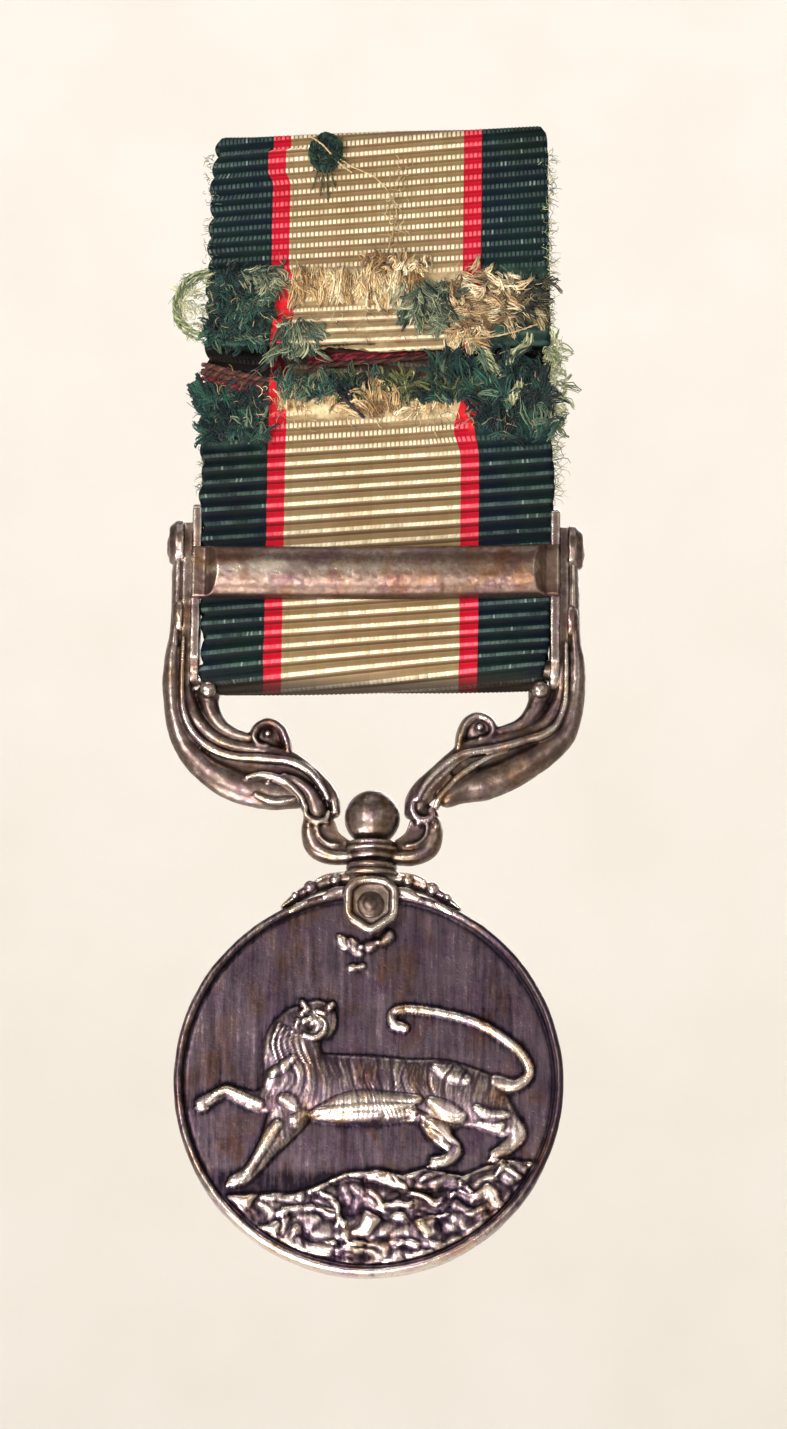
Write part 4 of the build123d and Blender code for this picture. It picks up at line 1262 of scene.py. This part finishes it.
def strip_outline(share, where, height):
    """Each point's x and the strip's half width there. The left edge is looped and the right one nearly even."""
    half = np.interp(height, [18.3, 18.65, 19.05, 19.5, 20.2, 24, 28, 36, 44.8, 45.6, 46.2],
                     [7.7, 7.8, 7.9, 8.0, 8.1, 8.13, 8.3, 8.26, 8.1, 8.0, 7.75])
    loops = np.abs(np.sin(pi * where / 1.08)) ** 0.6
    left = half + 0.24 * loops - 0.12 + 0.06 * np.sin(where * 2.3) - 0.7 * smooth_step(height, 19.6, 18.4)
    right = half - 0.10 + 0.06 * loops + 0.2 * smooth_step(height, 31, 28)
    # only the edges crowd together; the stripes run on straight
    full, straight = 8.25, 5.6
    wide = np.abs(share) * full
    squeeze = (np.where(share < 0, left, right) - straight) / (full - straight)
    return np.sign(share) * np.where(wide > straight, straight + (wide - straight) * squeeze, wide), half


def worn_zones(x, z, pull, up_tail, low_tail):
    """1 where the face has rubbed to felt, on both tails beside the gap."""
    zones = [(up_tail, smooth_step(z, 39.7, 39.0) * (0.25 + 0.75 * smooth_step(z, 37.3, 38.0))),
             (up_tail & (x < -4.6), smooth_step(z, 39.4, 38.2)), (up_tail & (x > 3.2), smooth_step(z, 39.8, 38.8)),
             (low_tail, smooth_step(z, 31.4, 32.2)), (low_tail & (x < -5.0), smooth_step(z, 29.9, 31.2)),
             (low_tail & (x > 4.6), smooth_step(z, 30.3, 31.8))]
    worn = np.zeros_like(z)
    for here, level in zones:
        worn = np.where(here, level, worn)
    return np.clip(worn * (1 + 0.45 * lattice_noise(pull, 0.9, 93)), 0, 1)


def pulled_threads(x, z, up_tail, low_tail):
    """x where threads are pulled sideways, beside the tear and near the top."""
    x = x + 0.62 * hump(z, 38.3, 0.6) * hump(x, -4.5, 1.4) * up_tail
    x = x + 0.25 * hump(z, 37.0, 0.7) * hump(x, -4.5, 1.2) * up_tail
    x = x - 0.26 * smooth_step(z, 43.8, 44.5) * hump(x, -4.8, 1.6) * up_tail
    return x - 0.34 * hump(z, 31.4, 0.9) * hump(x, 4.0, 1.6) * low_tail


def rib_bumps(phase, strand, worn, lined, pull, ribbed):
    """Ribs and strands, which give way to rough felt where the face is worn."""
    crest = np.sin(pi * phase)
    crest = np.where(lined > 0.4, crest**0.75, crest**1.6)
    if not ribbed:
        return 0.03 * (crest - 0.5)
    deep = 0.085 + 0.075 * np.clip(lined, 0, 1)
    bumps = deep * (crest - 0.5) * (1 - 0.7 * worn) - 0.018 * strand * (1 - worn) * crest
    return bumps + worn * (0.09 * lattice_noise(pull, 0.35, 95) + 0.14 * lattice_noise(pull, 0.9, 96) + 0.04)


class Strip:
    """The ribbon's middle line, and for each mesh row its place along it, rib count and lean, the slope of the
    ribs across the strip."""

    def __init__(self):
        self.line, self.arc_length = ribbon_path()
        self.total = self.arc_length[-1]
        along = np.gradient(self.line, axis=0)
        along /= np.linalg.norm(along, axis=1, keepdims=True)
        self.normal = np.stack([-along[:, 1], along[:, 0]], 1)
        self.apex = self.arc_length[np.argmax(self.line[:, 1])]
        self.lowest = self.arc_length[np.argmin(self.line[:, 1])]
        self.place = place = np.linspace(0, self.total, 574)
        self.height = height = np.interp(place, self.arc_length, self.line[:, 1])
        low_pitch = np.interp(height, [19, 22.5, 26, 29, 34], [0.66, 0.655, 0.72, 0.68, 0.58])
        pitch = np.where(place > self.lowest, low_pitch, 0.56)
        pitch = np.where((place > self.apex) & (place <= self.lowest), 0.62, pitch)
        self.ribs = np.cumsum((place[1] - place[0]) / evened(pitch, 16))
        lean = np.where(place < self.apex + 2, np.interp(height, [35, 46], [0.062, 0.050]), 0.085)
        self.lean = evened(lean, 32)

    def layer(self, shares, offset, ribbed):
        """Points, UVs and attributes of one face, offset from the middle line."""
        share, row = np.meshgrid(shares, np.arange(len(self.place)))
        share, row = share.ravel(), row.ravel()
        x, half = strip_outline(share, self.place[row], self.height[row])
        at = self.ragged_ends(x, np.clip(self.place[row] + x * self.lean[row], 0, self.total))
        y, z, out_y, out_z = [np.interp(at, self.arc_length, values) for values in (*self.line.T, *self.normal.T)]
        up_tail, low_tail = at < self.apex - 1, at > self.lowest + 0.4
        pull = np.stack([x, at, 0 * x], 1)
        worn = worn_zones(x, z, pull, up_tail, low_tail)
        # painted shade: darker at the top of the lower tail beside the gap, at the bottom of the fold round the
        # bar, and on the inner face behind the gap
        shaded = np.where(low_tail, smooth_step(z, 33.6, 34.1), 0) + 0.92 * smooth_step(z, 19.4, 18.85)
        shaded = np.where(up_tail | low_tail | ribbed, shaded, 0.8 * hump(z, 34.9, 0.9))
        lined = np.where(low_tail, smooth_step(z, 31.0, 29.6), 0)
        lined += np.where(up_tail, 0.5 * smooth_step(z, 44.6, 45.6) + smooth_step(z, 37.5, 36.8), 0)
        lined = np.where((at > self.apex + 1) & ~low_tail, 0.5, lined)
        x = pulled_threads(x, z, up_tail, low_tail)
        # soft waves of the whole strip, and its lean to the right
        lift = 0.26 * hump(z, 35.3, 1.3) * up_tail + 0.16 * hump(z, 33.4, 1.0) * low_tail
        lift += 0.05 * lattice_noise(pull, 3.0, 94) * (up_tail | low_tail)
        z = z + x * smooth_step(z, 36.5, 44.0) * ribbon_lean + x * bar_lean * smooth_step(z, 21.5, 19.5)
        thread = (share + 1) / 2 * thread_count
        bumps = rib_bumps(self.ribs[row] % 1.0, np.cos(2 * pi * thread), worn, lined, pull, ribbed)
        edge = np.clip((1 - np.abs(share)) * half / 0.22, 0, 1)
        push = lift + (offset + bumps) * np.sqrt(np.clip(1 - (1 - edge) ** 2, 0.03, 1))
        points = np.stack([x, y + push * out_y, z + push * out_z], 1)
        return points, np.stack([thread, self.ribs[row]], 1), worn, shaded, np.clip(lined, 0, 1)

    def ragged_ends(self, x, at):
        """Places along the strip, held inside its two frayed ends."""
        flat = np.stack([x, 0 * x, 0 * x], 1)
        ragged = 0.22 * lattice_noise(flat, 0.7, 91) + 0.12 * lattice_noise(flat, 0.2, 92)
        at = np.maximum(at, 0.1 + ragged + 0.2 * smooth_step(-x, 2, 6))
        return np.minimum(at, self.total - 0.35 + ragged * 1.3 - 0.9 * smooth_step(np.abs(x - 0.3), 5.0, 2.0))


def strip_faces(rows, columns, inner_columns):
    """The outer face, the inner face stored after it, and the walls along both edges and both ends."""
    n = rows * columns
    inner = n + grid_faces(rows, inner_columns, wrap_columns=False)
    faces = grid_faces(rows, columns, wrap_columns=False).tolist() + inner[:, ::-1].tolist()
    for i in range(rows - 1):
        a, b = i * columns, (i + 1) * columns
        c, d = n + i * inner_columns, n + (i + 1) * inner_columns
        faces.append((a, b, d, c))
        faces.append((a + columns - 1, c + inner_columns - 1, d + inner_columns - 1, b + columns - 1))
    ends = [[i * columns + k for k in range(columns)]
            + [n + i * inner_columns + k for k in reversed(range(inner_columns))] for i in (0, rows - 1)]
    return faces + [ends[0][::-1], ends[1]]


def make_ribbon(material):
    """One strip of ribbed silk: its front tail, top fold, back, the fold round the bar and the front again."""
    strip = Strip()
    rows, columns, inner_columns = len(strip.place), 2 * thread_count + 1, 12
    outer = strip.layer(np.linspace(-1, 1, columns), ribbon_thickness / 2, True)
    inner = strip.layer(np.linspace(-1, 1, inner_columns), -ribbon_thickness / 2, False)
    points, uv, worn, shaded, lined = [np.concatenate([a, b]) for a, b in zip(outer, inner)]
    # the inner faces are marked so the shader darkens them as painted shade
    inside = np.concatenate([np.zeros(len(outer[0])), np.ones(len(inner[0]))])
    piece = finish_piece("ribbon_strip", points, strip_faces(rows, columns, inner_columns), material, None,
                         ("ribbon_upper", "ribbon_lower"),
                         {"worn": worn, "shaded": shaded, "lined": lined, "inside": inside}, uv)
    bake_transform(piece)


def make_bar(material):
    """The plain bar inside the ribbon's lower fold, set a little askew."""
    low, high = local_box("ribbon_bar")
    radius = (high[2] - low[2]) / 2
    middle = (low[2] + high[2]) / 2
    casting = Casting()
    places = np.linspace(low[0] + radius * 0.6, high[0] - radius * 0.6, 9)
    casting.rod([(x, 0.0, middle + bar_lean * x) for x in places], radius - 0.03, sides=32)
    cast_piece("ribbon_bar_worn", casting, 0.07, material, "suspension", "ribbon_bar", dents=0.008, seed=75)


# ---------------------------------------------------------------- fuzz, threads and knot

fibre_steps = np.linspace(0, 1, 5)


def linear(colours):
    return np.array([srgb(*c) for c in colours])


def wander(root, bearing, reach):
    """x and height of paths that leave their roots, each heading along its bearing at every step."""
    hop = reach[:, None] / (bearing.shape[1] - 1)
    return [start + np.cumsum(turn(bearing) * hop, axis=1)
            for start, turn in ((root[:, :1], np.cos), (root[:, 2:], np.sin))]


class Fuzz:
    """Fibres gathered into one mesh: each is a thin tapering tube with its own colour."""

    def __init__(self, seed):
        self.random = np.random.default_rng(seed)
        self.points, self.faces, self.tints = [], [], []
        self.count = 0

    def strands(self, paths, radii, tints, sides=3):
        """paths is (fibres, steps, 3), radii (fibres, steps) and tints (fibres, 3)."""
        fibres, steps, _ = paths.shape
        tangent = np.gradient(paths, axis=1)
        tangent /= np.maximum(np.linalg.norm(tangent, axis=2, keepdims=True), 1e-9)
        pole = np.where(np.abs(tangent[..., 1:2]) > 0.9, np.array([1.0, 0, 0]), ALONG_Y)
        side = np.cross(tangent, pole)
        side /= np.maximum(np.linalg.norm(side, axis=2, keepdims=True), 1e-9)
        up = np.cross(side, tangent)
        turn = np.linspace(0, 2 * pi, sides, endpoint=False)
        rings = (paths[:, :, None] + radii[:, :, None, None]
                 * (side[:, :, None] * np.cos(turn)[:, None] + up[:, :, None] * np.sin(turn)[:, None]))
        self.points.append(rings.reshape(-1, 3))
        self.tints.append(np.repeat(tints, steps * sides, axis=0))
        starts = self.count + np.arange(fibres) * steps * sides
        self.faces += (starts[:, None, None] + grid_faces(steps, sides)).reshape(-1, 4).tolist()
        for ends, way in ((starts, -1), (starts + (steps - 1) * sides, 1)):
            self.faces += [list(range(a, a + sides))[::way] for a in ends.tolist()]
        self.count += fibres * steps * sides

    def roots(self, count, box, face, depth):
        """Places in box (x low, x high, z low, z high), up to depth in front of y = face."""
        r = self.random
        return np.stack([r.uniform(box[0], box[1], count), face - r.uniform(0, depth, count),
                         r.uniform(box[2], box[3], count)], 1)

    def patch(self, count, box, face, colours, length=(0.6, 1.4), heading=90.0, spread=70.0, radius=0.026,
              lift=0.25):
        """Single fibres rooted in the box."""
        r = self.random
        root = self.roots(count, box, face, 0.12)
        angle = np.radians(heading + spread * r.normal(0, 1, count))
        reach = r.uniform(length[0], length[1], count)
        out = r.uniform(0.2, 1.0, count) * lift
        turn = 0.9 * r.normal(0, 1, count)
        wave = r.uniform(0, 2 * pi, count)
        t = fibre_steps
        bearing = angle[:, None] + turn[:, None] * t * 1.6 + 0.5 * np.sin(wave[:, None] + 5 * t)
        x, z = wander(root, bearing, reach)
        y = root[:, 1:2] - out[:, None] * np.sin(pi * np.minimum(t * 0.75 + 0.05, 1))
        thick = radius * r.uniform(0.6, 1.3, count)[:, None] * (1 - 0.55 * t**2)
        palette = linear(colours)
        tint = palette[r.integers(0, len(palette), count)] * r.uniform(0.7, 1.25, (count, 1))
        self.strands(np.stack([x, y, z], 2), thick, tint)

    def locks(self, count, box, face, colours, length=(0.6, 1.3), heading=90.0, spread=35.0, width=0.13,
              radius=0.038, lift=0.3, curl=0.5, depth=0.15, seed=0):
        """Tufts of wool: each lock is a bundle of fibres that spring from one root and meet again at the tip.
        Neighbouring locks share their colour, picked from dark to light."""
        r = self.random
        fibres, t = 6, fibre_steps
        root = self.roots(count, box, face, depth)
        drift = lattice_noise(root * [1, 0, 1], 1.1, seed + 7)
        angle = np.radians(heading + spread * (0.6 * r.normal(0, 1, count) + 1.1 * drift))
        reach = r.uniform(length[0], length[1], count)
        bearing = angle[:, None] + curl * r.normal(0, 1, count)[:, None] * t * 1.8
        x, z = wander(root, bearing, reach)
        out = r.uniform(0.3, 1.0, count)[:, None] * lift
        y = root[:, 1:2] - out * np.sin(pi * np.minimum(0.72 * t + 0.08, 1))
        spine = np.stack([x, y, z], 2)[:, None]
        fan = r.normal(0, 1, (count, fibres, 1, 3)) * width * np.array([1.0, 0.55, 1.0])
        close = (0.55 + 0.75 * np.sin(pi * np.minimum(t + 0.12, 1)))[None, None, :, None]
        waver = 0.22 * width * r.normal(0, 1, (count, fibres, len(t), 3))
        paths = (spine + fan * close * 0.62 + waver).reshape(-1, len(t), 3)
        thick = radius * r.uniform(0.65, 1.3, count * fibres)[:, None] * (1 - 0.45 * t**2)
        palette = linear(colours)
        pick = 0.5 + 0.42 * lattice_noise(root * [1, 0, 1], 0.75, seed) + 0.20 * r.normal(0, 1, count)
        shade = palette[np.clip(pick * len(palette), 0, len(palette) - 1).astype(int)]
        tint = np.repeat(shade, fibres, axis=0) * r.uniform(0.65, 1.35, (count * fibres, 1))
        self.strands(paths, thick, tint)

    def yarn(self, line, radius, colours, plies=3, turns=3.0, fibre=0.5, stray=6):
        """A twisted thread along line, with a few stray fibres."""
        fine = smooth_line(line)
        steps = len(fine)
        t = np.linspace(0, 1, steps)
        tangent = np.gradient(fine, axis=0)
        tangent /= np.linalg.norm(tangent, axis=1, keepdims=True)
        side = np.cross(tangent, np.array([0.13, 1.0, 0.07]))
        side /= np.maximum(np.linalg.norm(side, axis=1, keepdims=True), 1e-9)
        up = np.cross(side, tangent)
        palette = linear(colours)
        swell = 1 - 0.25 * np.abs(2 * t - 1) ** 4
        for ply in range(plies):
            a = 2 * pi * (turns * t + ply / plies)
            offset = (side * np.cos(a)[:, None] + up * np.sin(a)[:, None]) * (radius * 0.55 * swell)[:, None]
            tint = palette[ply % len(palette)][None] * self.random.uniform(0.85, 1.15)
            self.strands((fine + offset)[None], (radius * fibre * swell)[None], tint, sides=7)
        for _ in range(stray):
            k = self.random.integers(0, max(steps - 6, 1))
            part = fine[k:k + 6] + self.random.normal(0, radius * 0.7, 3) * np.linspace(0.3, 2.2, 6)[:, None]
            self.strands(part[None], np.full((1, 6), radius * 0.13), palette[:1] * self.random.uniform(0.9, 1.2))

    def piece(self, name, material, body, slot, stands_for=()):
        return finish_piece(name, np.vstack(self.points), self.faces, material, body, stands_for,
                            tints=np.vstack(self.tints))


# colours of the loose threads, in steps from 0 to 255; locks pick from the first towards the last
WOOL_DARK = [(10, 24, 30), (16, 38, 38), (24, 54, 52), (44, 82, 70), (96, 118, 96)]
PALE_GREEN = [(112, 124, 92), (158, 164, 124), (196, 198, 160), (222, 220, 188)]
TAN = [(150, 116, 76), (194, 162, 116), (222, 194, 148), (244, 226, 190)]
TAN_BROWN = [(124, 98, 70), (180, 150, 110), (222, 198, 156), (246, 230, 196)]
BROWN_GREEN = [(34, 40, 36), (78, 74, 56), (132, 118, 88), (176, 160, 124)]
SAND = [(214, 190, 148), (190, 160, 112), (228, 212, 176), (170, 140, 100)]
PALE = [(200, 200, 150), (176, 182, 128), (216, 212, 170)]
GREY_GREEN = [(36, 54, 50), (74, 92, 78), (118, 128, 104), (168, 170, 140)]
OLIVE = [(30, 44, 38), (58, 72, 46), (98, 102, 62), (134, 132, 88)]
MAROON = [(112, 26, 38), (78, 20, 30), (150, 40, 58)]
BROWN = [(84, 50, 42), (60, 34, 36), (110, 66, 54)]


def upper_fray():
    """Wool and broken threads on the front tail above the gap."""
    fuzz = Fuzz(101)
    face = tail_face
    fuzz.locks(290, (-8.05, -5.55, 35.5, 38.9), face - 0.02, WOOL_DARK, heading=-50, spread=80, lift=0.26, seed=1,
               length=(0.4, 0.9), width=0.12, curl=0.8)
    fuzz.locks(50, (-6.8, -5.0, 38.6, 39.3), face, GREY_GREEN, heading=-20, spread=50, lift=0.3, seed=2,
               length=(0.5, 1.0))
    fuzz.locks(60, (-4.9, -3.1, 35.4, 36.9), face - 0.02, GREY_GREEN, heading=-95, spread=30, lift=0.3, seed=3)
    fuzz.locks(190, (-4.5, 1.9, 38.7, 39.6), face, TAN, heading=-88, spread=14, lift=0.16, width=0.11, curl=0.22,
               length=(0.7, 1.3), seed=4, depth=0.05)
    fuzz.locks(44, (-0.9, 2.4, 38.9, 39.7), face - 0.04, TAN, heading=70, spread=45, lift=0.3, length=(0.3, 0.7),
               seed=5)
    fuzz.locks(70, (1.3, 3.3, 37.2, 39.0), face - 0.02, GREY_GREEN, heading=-82, spread=22, lift=0.32, seed=6,
               length=(0.7, 1.4))
    fuzz.locks(140, (3.0, 6.2, 36.9, 39.2), face, TAN_BROWN, heading=-55, spread=50, lift=0.32, seed=7,
               length=(0.6, 1.3))
    fuzz.locks(80, (5.4, 7.6, 37.0, 38.7), face, BROWN_GREEN, heading=-5, spread=35, lift=0.25, seed=8,
               length=(0.6, 1.2))
    fuzz.locks(60, (3.2, 4.9, 35.7, 36.9), face, TAN_BROWN, heading=-60, spread=45, lift=0.28, seed=9,
               length=(0.5, 0.9))
    fuzz.patch(90, (0.4, 1.2, 39.8, 45.0), face, SAND, heading=-90, spread=30, lift=0.1, length=(0.3, 0.8),
               radius=0.016)
    fuzz.patch(160, (-8.35, -7.9, 35.6, 45.0), face + 0.2, GREY_GREEN, heading=190, spread=50, lift=0.1,
               length=(0.15, 0.4), radius=0.02)
    fuzz.patch(300, (7.9, 8.15, 36.0, 45.4), face + 0.2, GREY_GREEN + PALE, heading=-20, spread=60, lift=0.1,
               length=(0.2, 0.6), radius=0.02)
    fuzz.patch(280, (-7.9, 7.6, 35.6, 39.4), face - 0.1, GREY_GREEN + SAND, spread=120, lift=0.3,
               length=(0.3, 0.8), radius=0.018)
    loop = np.array([(-8.1, -0.5, 39.0), (-8.9, -0.45, 38.8), (-9.5, -0.4, 38.15), (-9.78, -0.4, 37.3),
                     (-9.5, -0.45, 36.5), (-8.9, -0.5, 36.0), (-8.3, -0.55, 35.8)])
    for k in range(5):
        drift = 0.11 * np.array([cos(2.1 * k), sin(1.3 * k), sin(2.1 * k)])
        fuzz.yarn(loop + 1.5 * drift, 0.09, PALE_GREEN, plies=2, turns=4 + k, stray=22)
    fuzz.locks(26, (-9.7, -8.5, 36.3, 38.9), -0.4, PALE_GREEN, heading=60, spread=120, lift=0.1, length=(0.3, 0.7),
               radius=0.024, curl=1.0, seed=10)
    fuzz.yarn([(-8.2, -0.6, 38.4), (-9.2, -0.5, 37.9), (-9.4, -0.5, 37.2),
               (-9.2, -0.5, 36.6)], 0.05, PALE, stray=5)
    fuzz.yarn([(3.9, -0.95, 35.75), (5.4, -1.1, 35.85), (6.7, -1.05, 36.2),
               (7.8, -0.8, 36.7)], 0.05, SAND, plies=2, turns=6, stray=6)
    fine = [(-3.1, -0.85, 45.6), (-2.3, -1.1, 44.9), (-1.3, -0.75, 44.4), (-0.4, -0.68, 44.0),
            (0.3, -0.66, 43.3), (0.75, -0.66, 42.3), (0.6, -0.66, 41.2), (0.35, -0.66, 40.2)]
    fuzz.yarn(fine, 0.035, SAND, plies=2, turns=9, stray=12)
    return fuzz


def lower_fray():
    """Wool and broken threads at the upper end of the lower tail, below the gap."""
    fuzz = Fuzz(103)
    face = tail_face
    fuzz.locks(215, (-8.1, -5.6, 30.5, 32.7), face - 0.02, WOOL_DARK, heading=110, spread=70, lift=0.26, seed=11,
               length=(0.4, 0.9), width=0.12, curl=0.8)
    fuzz.locks(130, (-4.9, 3.6, 31.9, 32.7), face, TAN, heading=90, spread=16, lift=0.16, width=0.12, curl=0.25,
               length=(0.6, 1.15), seed=12, depth=0.06)
    fuzz.locks(90, (-1.6, 3.6, 32.4, 33.5), face - 0.08, OLIVE, heading=100, spread=40, lift=0.36, seed=13,
               length=(0.5, 1.0))
    fuzz.locks(110, (-4.9, 0.6, 32.5, 33.5), face - 0.04, WOOL_DARK, heading=80, spread=45, lift=0.3, seed=14,
               length=(0.4, 0.9))
    fuzz.locks(130, (2.6, 6.8, 32.3, 34.4), face - 0.08, WOOL_DARK, heading=100, spread=50, lift=0.4, seed=15)
    fuzz.locks(130, (4.9, 8.0, 30.6, 34.4), face, WOOL_DARK, heading=80, spread=60, lift=0.3, seed=16)
    fuzz.locks(60, (7.7, 8.5, 31.2, 36.0), face + 0.2, PALE_GREEN, heading=10, spread=70, lift=0.2, seed=18,
               length=(0.4, 1.0), curl=0.9)
    fuzz.locks(36, (-0.6, 0.9, 31.5, 32.6), face - 0.04, TAN, heading=100, spread=25, lift=0.4, seed=17,
               length=(0.8, 1.4))
    fuzz.patch(320, (7.9, 8.2, 28.2, 35.6), face + 0.25, PALE + GREY_GREEN, heading=0, spread=50, lift=0.1,
               length=(0.3, 1.0), radius=0.022)
    fuzz.patch(240, (-7.9, 7.8, 31.2, 34.0), face - 0.12, GREY_GREEN + SAND, spread=120, lift=0.3,
               length=(0.3, 0.8), radius=0.018)
    fuzz.patch(120, (-8.4, -7.9, 28.0, 33.6), face + 0.2, GREY_GREEN, heading=185, spread=50, lift=0.1,
               length=(0.15, 0.45), radius=0.02)
    # tuft that leans out at the left, loose pale yarns at the right and a dark slanting thread
    for k in range(16):
        start = np.array([-7.7 + 0.16 * sin(3.1 * k), -0.62 - 0.05 * (k % 4), 31.6 + 0.20 * (k % 5)])
        end = start + np.array([-1.15 + 0.16 * cos(2 * k), -0.05, 1.25 + 0.3 * sin(3 * k)])
        fuzz.yarn([start, 0.5 * (start + end) + [-0.12, -0.1, -0.12], end], 0.13, [WOOL_DARK[k % 4]])
    pale_yarns = [[(5.1, -0.95, 35.2), (5.35, -1.1, 34.6), (5.75, -1.0, 33.8)],
                  [(7.25, -0.85, 36.1), (6.95, -1.05, 35.4), (6.35, -1.1, 34.9), (6.1, -0.95, 34.2)],
                  [(6.75, -1.0, 33.6), (6.5, -1.1, 33.0), (6.15, -0.95, 32.3)]]
    for line in pale_yarns:
        for k in range(4):
            drift = 0.13 * np.array([cos(2.2 * k), 0.4 * sin(k), sin(2.2 * k)])
            fuzz.yarn(np.array(line) + drift, 0.10, PALE_GREEN[1:], plies=2, turns=2.5, stray=12)
    fuzz.yarn([(-1.85, -0.95, 32.95), (-1.35, -1.05, 32.4), (-0.65, -1.0, 31.75)], 0.10,
              [(60, 46, 62), (44, 36, 50)], stray=6)
    # rolled maroon edge at the left of the tear
    roll = np.array([(-8.45, -0.5, 34.1), (-7.8, -0.62, 33.9), (-7.0, -0.66, 33.65), (-6.1, -0.64, 33.45),
                     (-5.2, -0.55, 33.35)])
    fuzz.yarn(roll, 0.24, BROWN, plies=5, turns=5, fibre=0.42, stray=24)
    fuzz.yarn(roll + [0.0, -0.08, 0.34], 0.15, BROWN, turns=6, stray=14)
    fuzz.yarn(roll + [0.0, -0.12, -0.36], 0.15, MAROON, turns=6, stray=14)
    return fuzz


def make_fuzz(material):
    upper = upper_fray().piece("frayed_tail_upper", material, "upper_loop", "green_thread")
    lower = lower_fray().piece("frayed_tail_lower", material, "suspension", "green_thread")
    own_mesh(lower)
    return [upper, lower]


def make_binding_thread(material):
    low, high = local_box("binding_thread")
    middle = (low + high) / 2
    fuzz = Fuzz(107)
    line = [(low[0], middle[1] - 0.1, middle[2] - 0.35), (-2.0, middle[1] - 0.3, middle[2] - 0.2),
            (0.0, middle[1] - 0.35, middle[2] - 0.05), (1.8, middle[1] - 0.3, middle[2] + 0.2),
            (high[0], middle[1] - 0.1, middle[2] + 0.35)]
    fuzz.yarn(line, 0.13, MAROON + [(170, 70, 90)], turns=9, stray=14)
    fuzz.yarn(np.array(line) + [0.0, 0.05, 0.22], 0.11, MAROON, turns=8, stray=10)
    fuzz.yarn(np.array(line) + [0.0, 0.05, -0.25], 0.12, BROWN, turns=8, stray=10)
    return fuzz.piece("binding_thread_twist", material, "upper_loop", "maroon_thread", ("binding_thread",))


def make_knot(material):
    """A dark knot of thread with a few short legs and a pale thread laid across it."""
    low, high = local_box("knot_thread")
    middle = (low + high) / 2
    front = low[1]
    fuzz = Fuzz(109)
    wide, tall = 0.98, 1.12
    for k in range(9):
        a = 2 * pi * k / 9
        turn = [(middle[0] + 0.68 * wide * cos(a + t) * (0.78 + 0.22 * cos(2 * t)),
                 front + 0.28 - 0.26 * sin(t + 0.9 * k), middle[2] + 0.08 + 0.68 * tall * sin(a + t))
                for t in np.linspace(0, 1.9 * pi, 12)]
        fuzz.yarn(turn, 0.20, [(18, 44, 36), (12, 34, 32), (34, 62, 48)], turns=7, stray=8)
    fuzz.locks(60, (middle[0] - 0.4 * wide, middle[0] + 0.4 * wide, middle[2] - 0.5 * tall, middle[2] + 0.4 * tall),
               front + 0.02, [(12, 36, 32), (20, 46, 38), (36, 64, 50)], length=(0.2, 0.4), spread=180, lift=0.1,
               width=0.10, curl=1.2)
    for dx, reach in ((-0.34, 0.9), (-0.12, 1.2), (0.08, 1.5), (0.26, 0.8)):
        leg = [(middle[0] + dx, front + 0.25, low[2] + 0.2),
               (middle[0] + 1.4 * dx, front + 0.32, low[2] - 0.5 * reach),
               (middle[0] + 1.9 * dx, front + 0.38, low[2] - reach)]
        fuzz.yarn(leg, 0.055, [(40, 58, 40), (90, 88, 60)], plies=2, turns=4, stray=5)
    fuzz.yarn([(middle[0] - 0.8, front + 0.05, middle[2] + 0.85), (middle[0] - 0.1, front - 0.36, middle[2] + 0.2),
               (middle[0] + 0.6, front + 0.1, middle[2] - 0.45), (middle[0] + 1.3, front + 0.36, middle[2] - 0.9)],
              0.05, SAND[:3], plies=2, turns=6, stray=3)
    return fuzz.piece("knot_thread_tuft", material, "upper_loop", "green_thread", ("knot_thread",))


# ---------------------------------------------------------------- build

make_camera()
make_stage(pale_floor())
make_lights()
bpy.context.scene.view_settings.view_transform = "Standard"

disc_silver = tarnished_silver("disc_silver", srgb(26, 20, 30), srgb(88, 74, 82), srgb(236, 222, 210),
                               corrosion=0.45, shine=0.24, contrast=0.8, streak=0.7)
fitting_silver = tarnished_silver("fitting_silver", srgb(28, 20, 22), srgb(108, 92, 86), srgb(235, 226, 216),
                                  corrosion=0.40, shine=0.23, contrast=1.1)
clasp_silver = tarnished_silver("clasp_silver", srgb(44, 30, 24), srgb(124, 104, 94), srgb(244, 234, 222),
                                corrosion=0.5, shine=0.23)

make_disc(disc_silver)
for make in (make_suspender, make_claw, make_claw_rivet, make_swivel):
    make(fitting_silver)
make_clasp(clasp_silver)
for make in (make_side_plates, make_rivets, make_bar):
    make(fitting_silver)

thread_material = worn_thread("thread_fuzz")
loose = make_fuzz(thread_material) + [make_binding_thread(thread_material), make_knot(thread_material)]
make_ribbon(woven_ribbon())
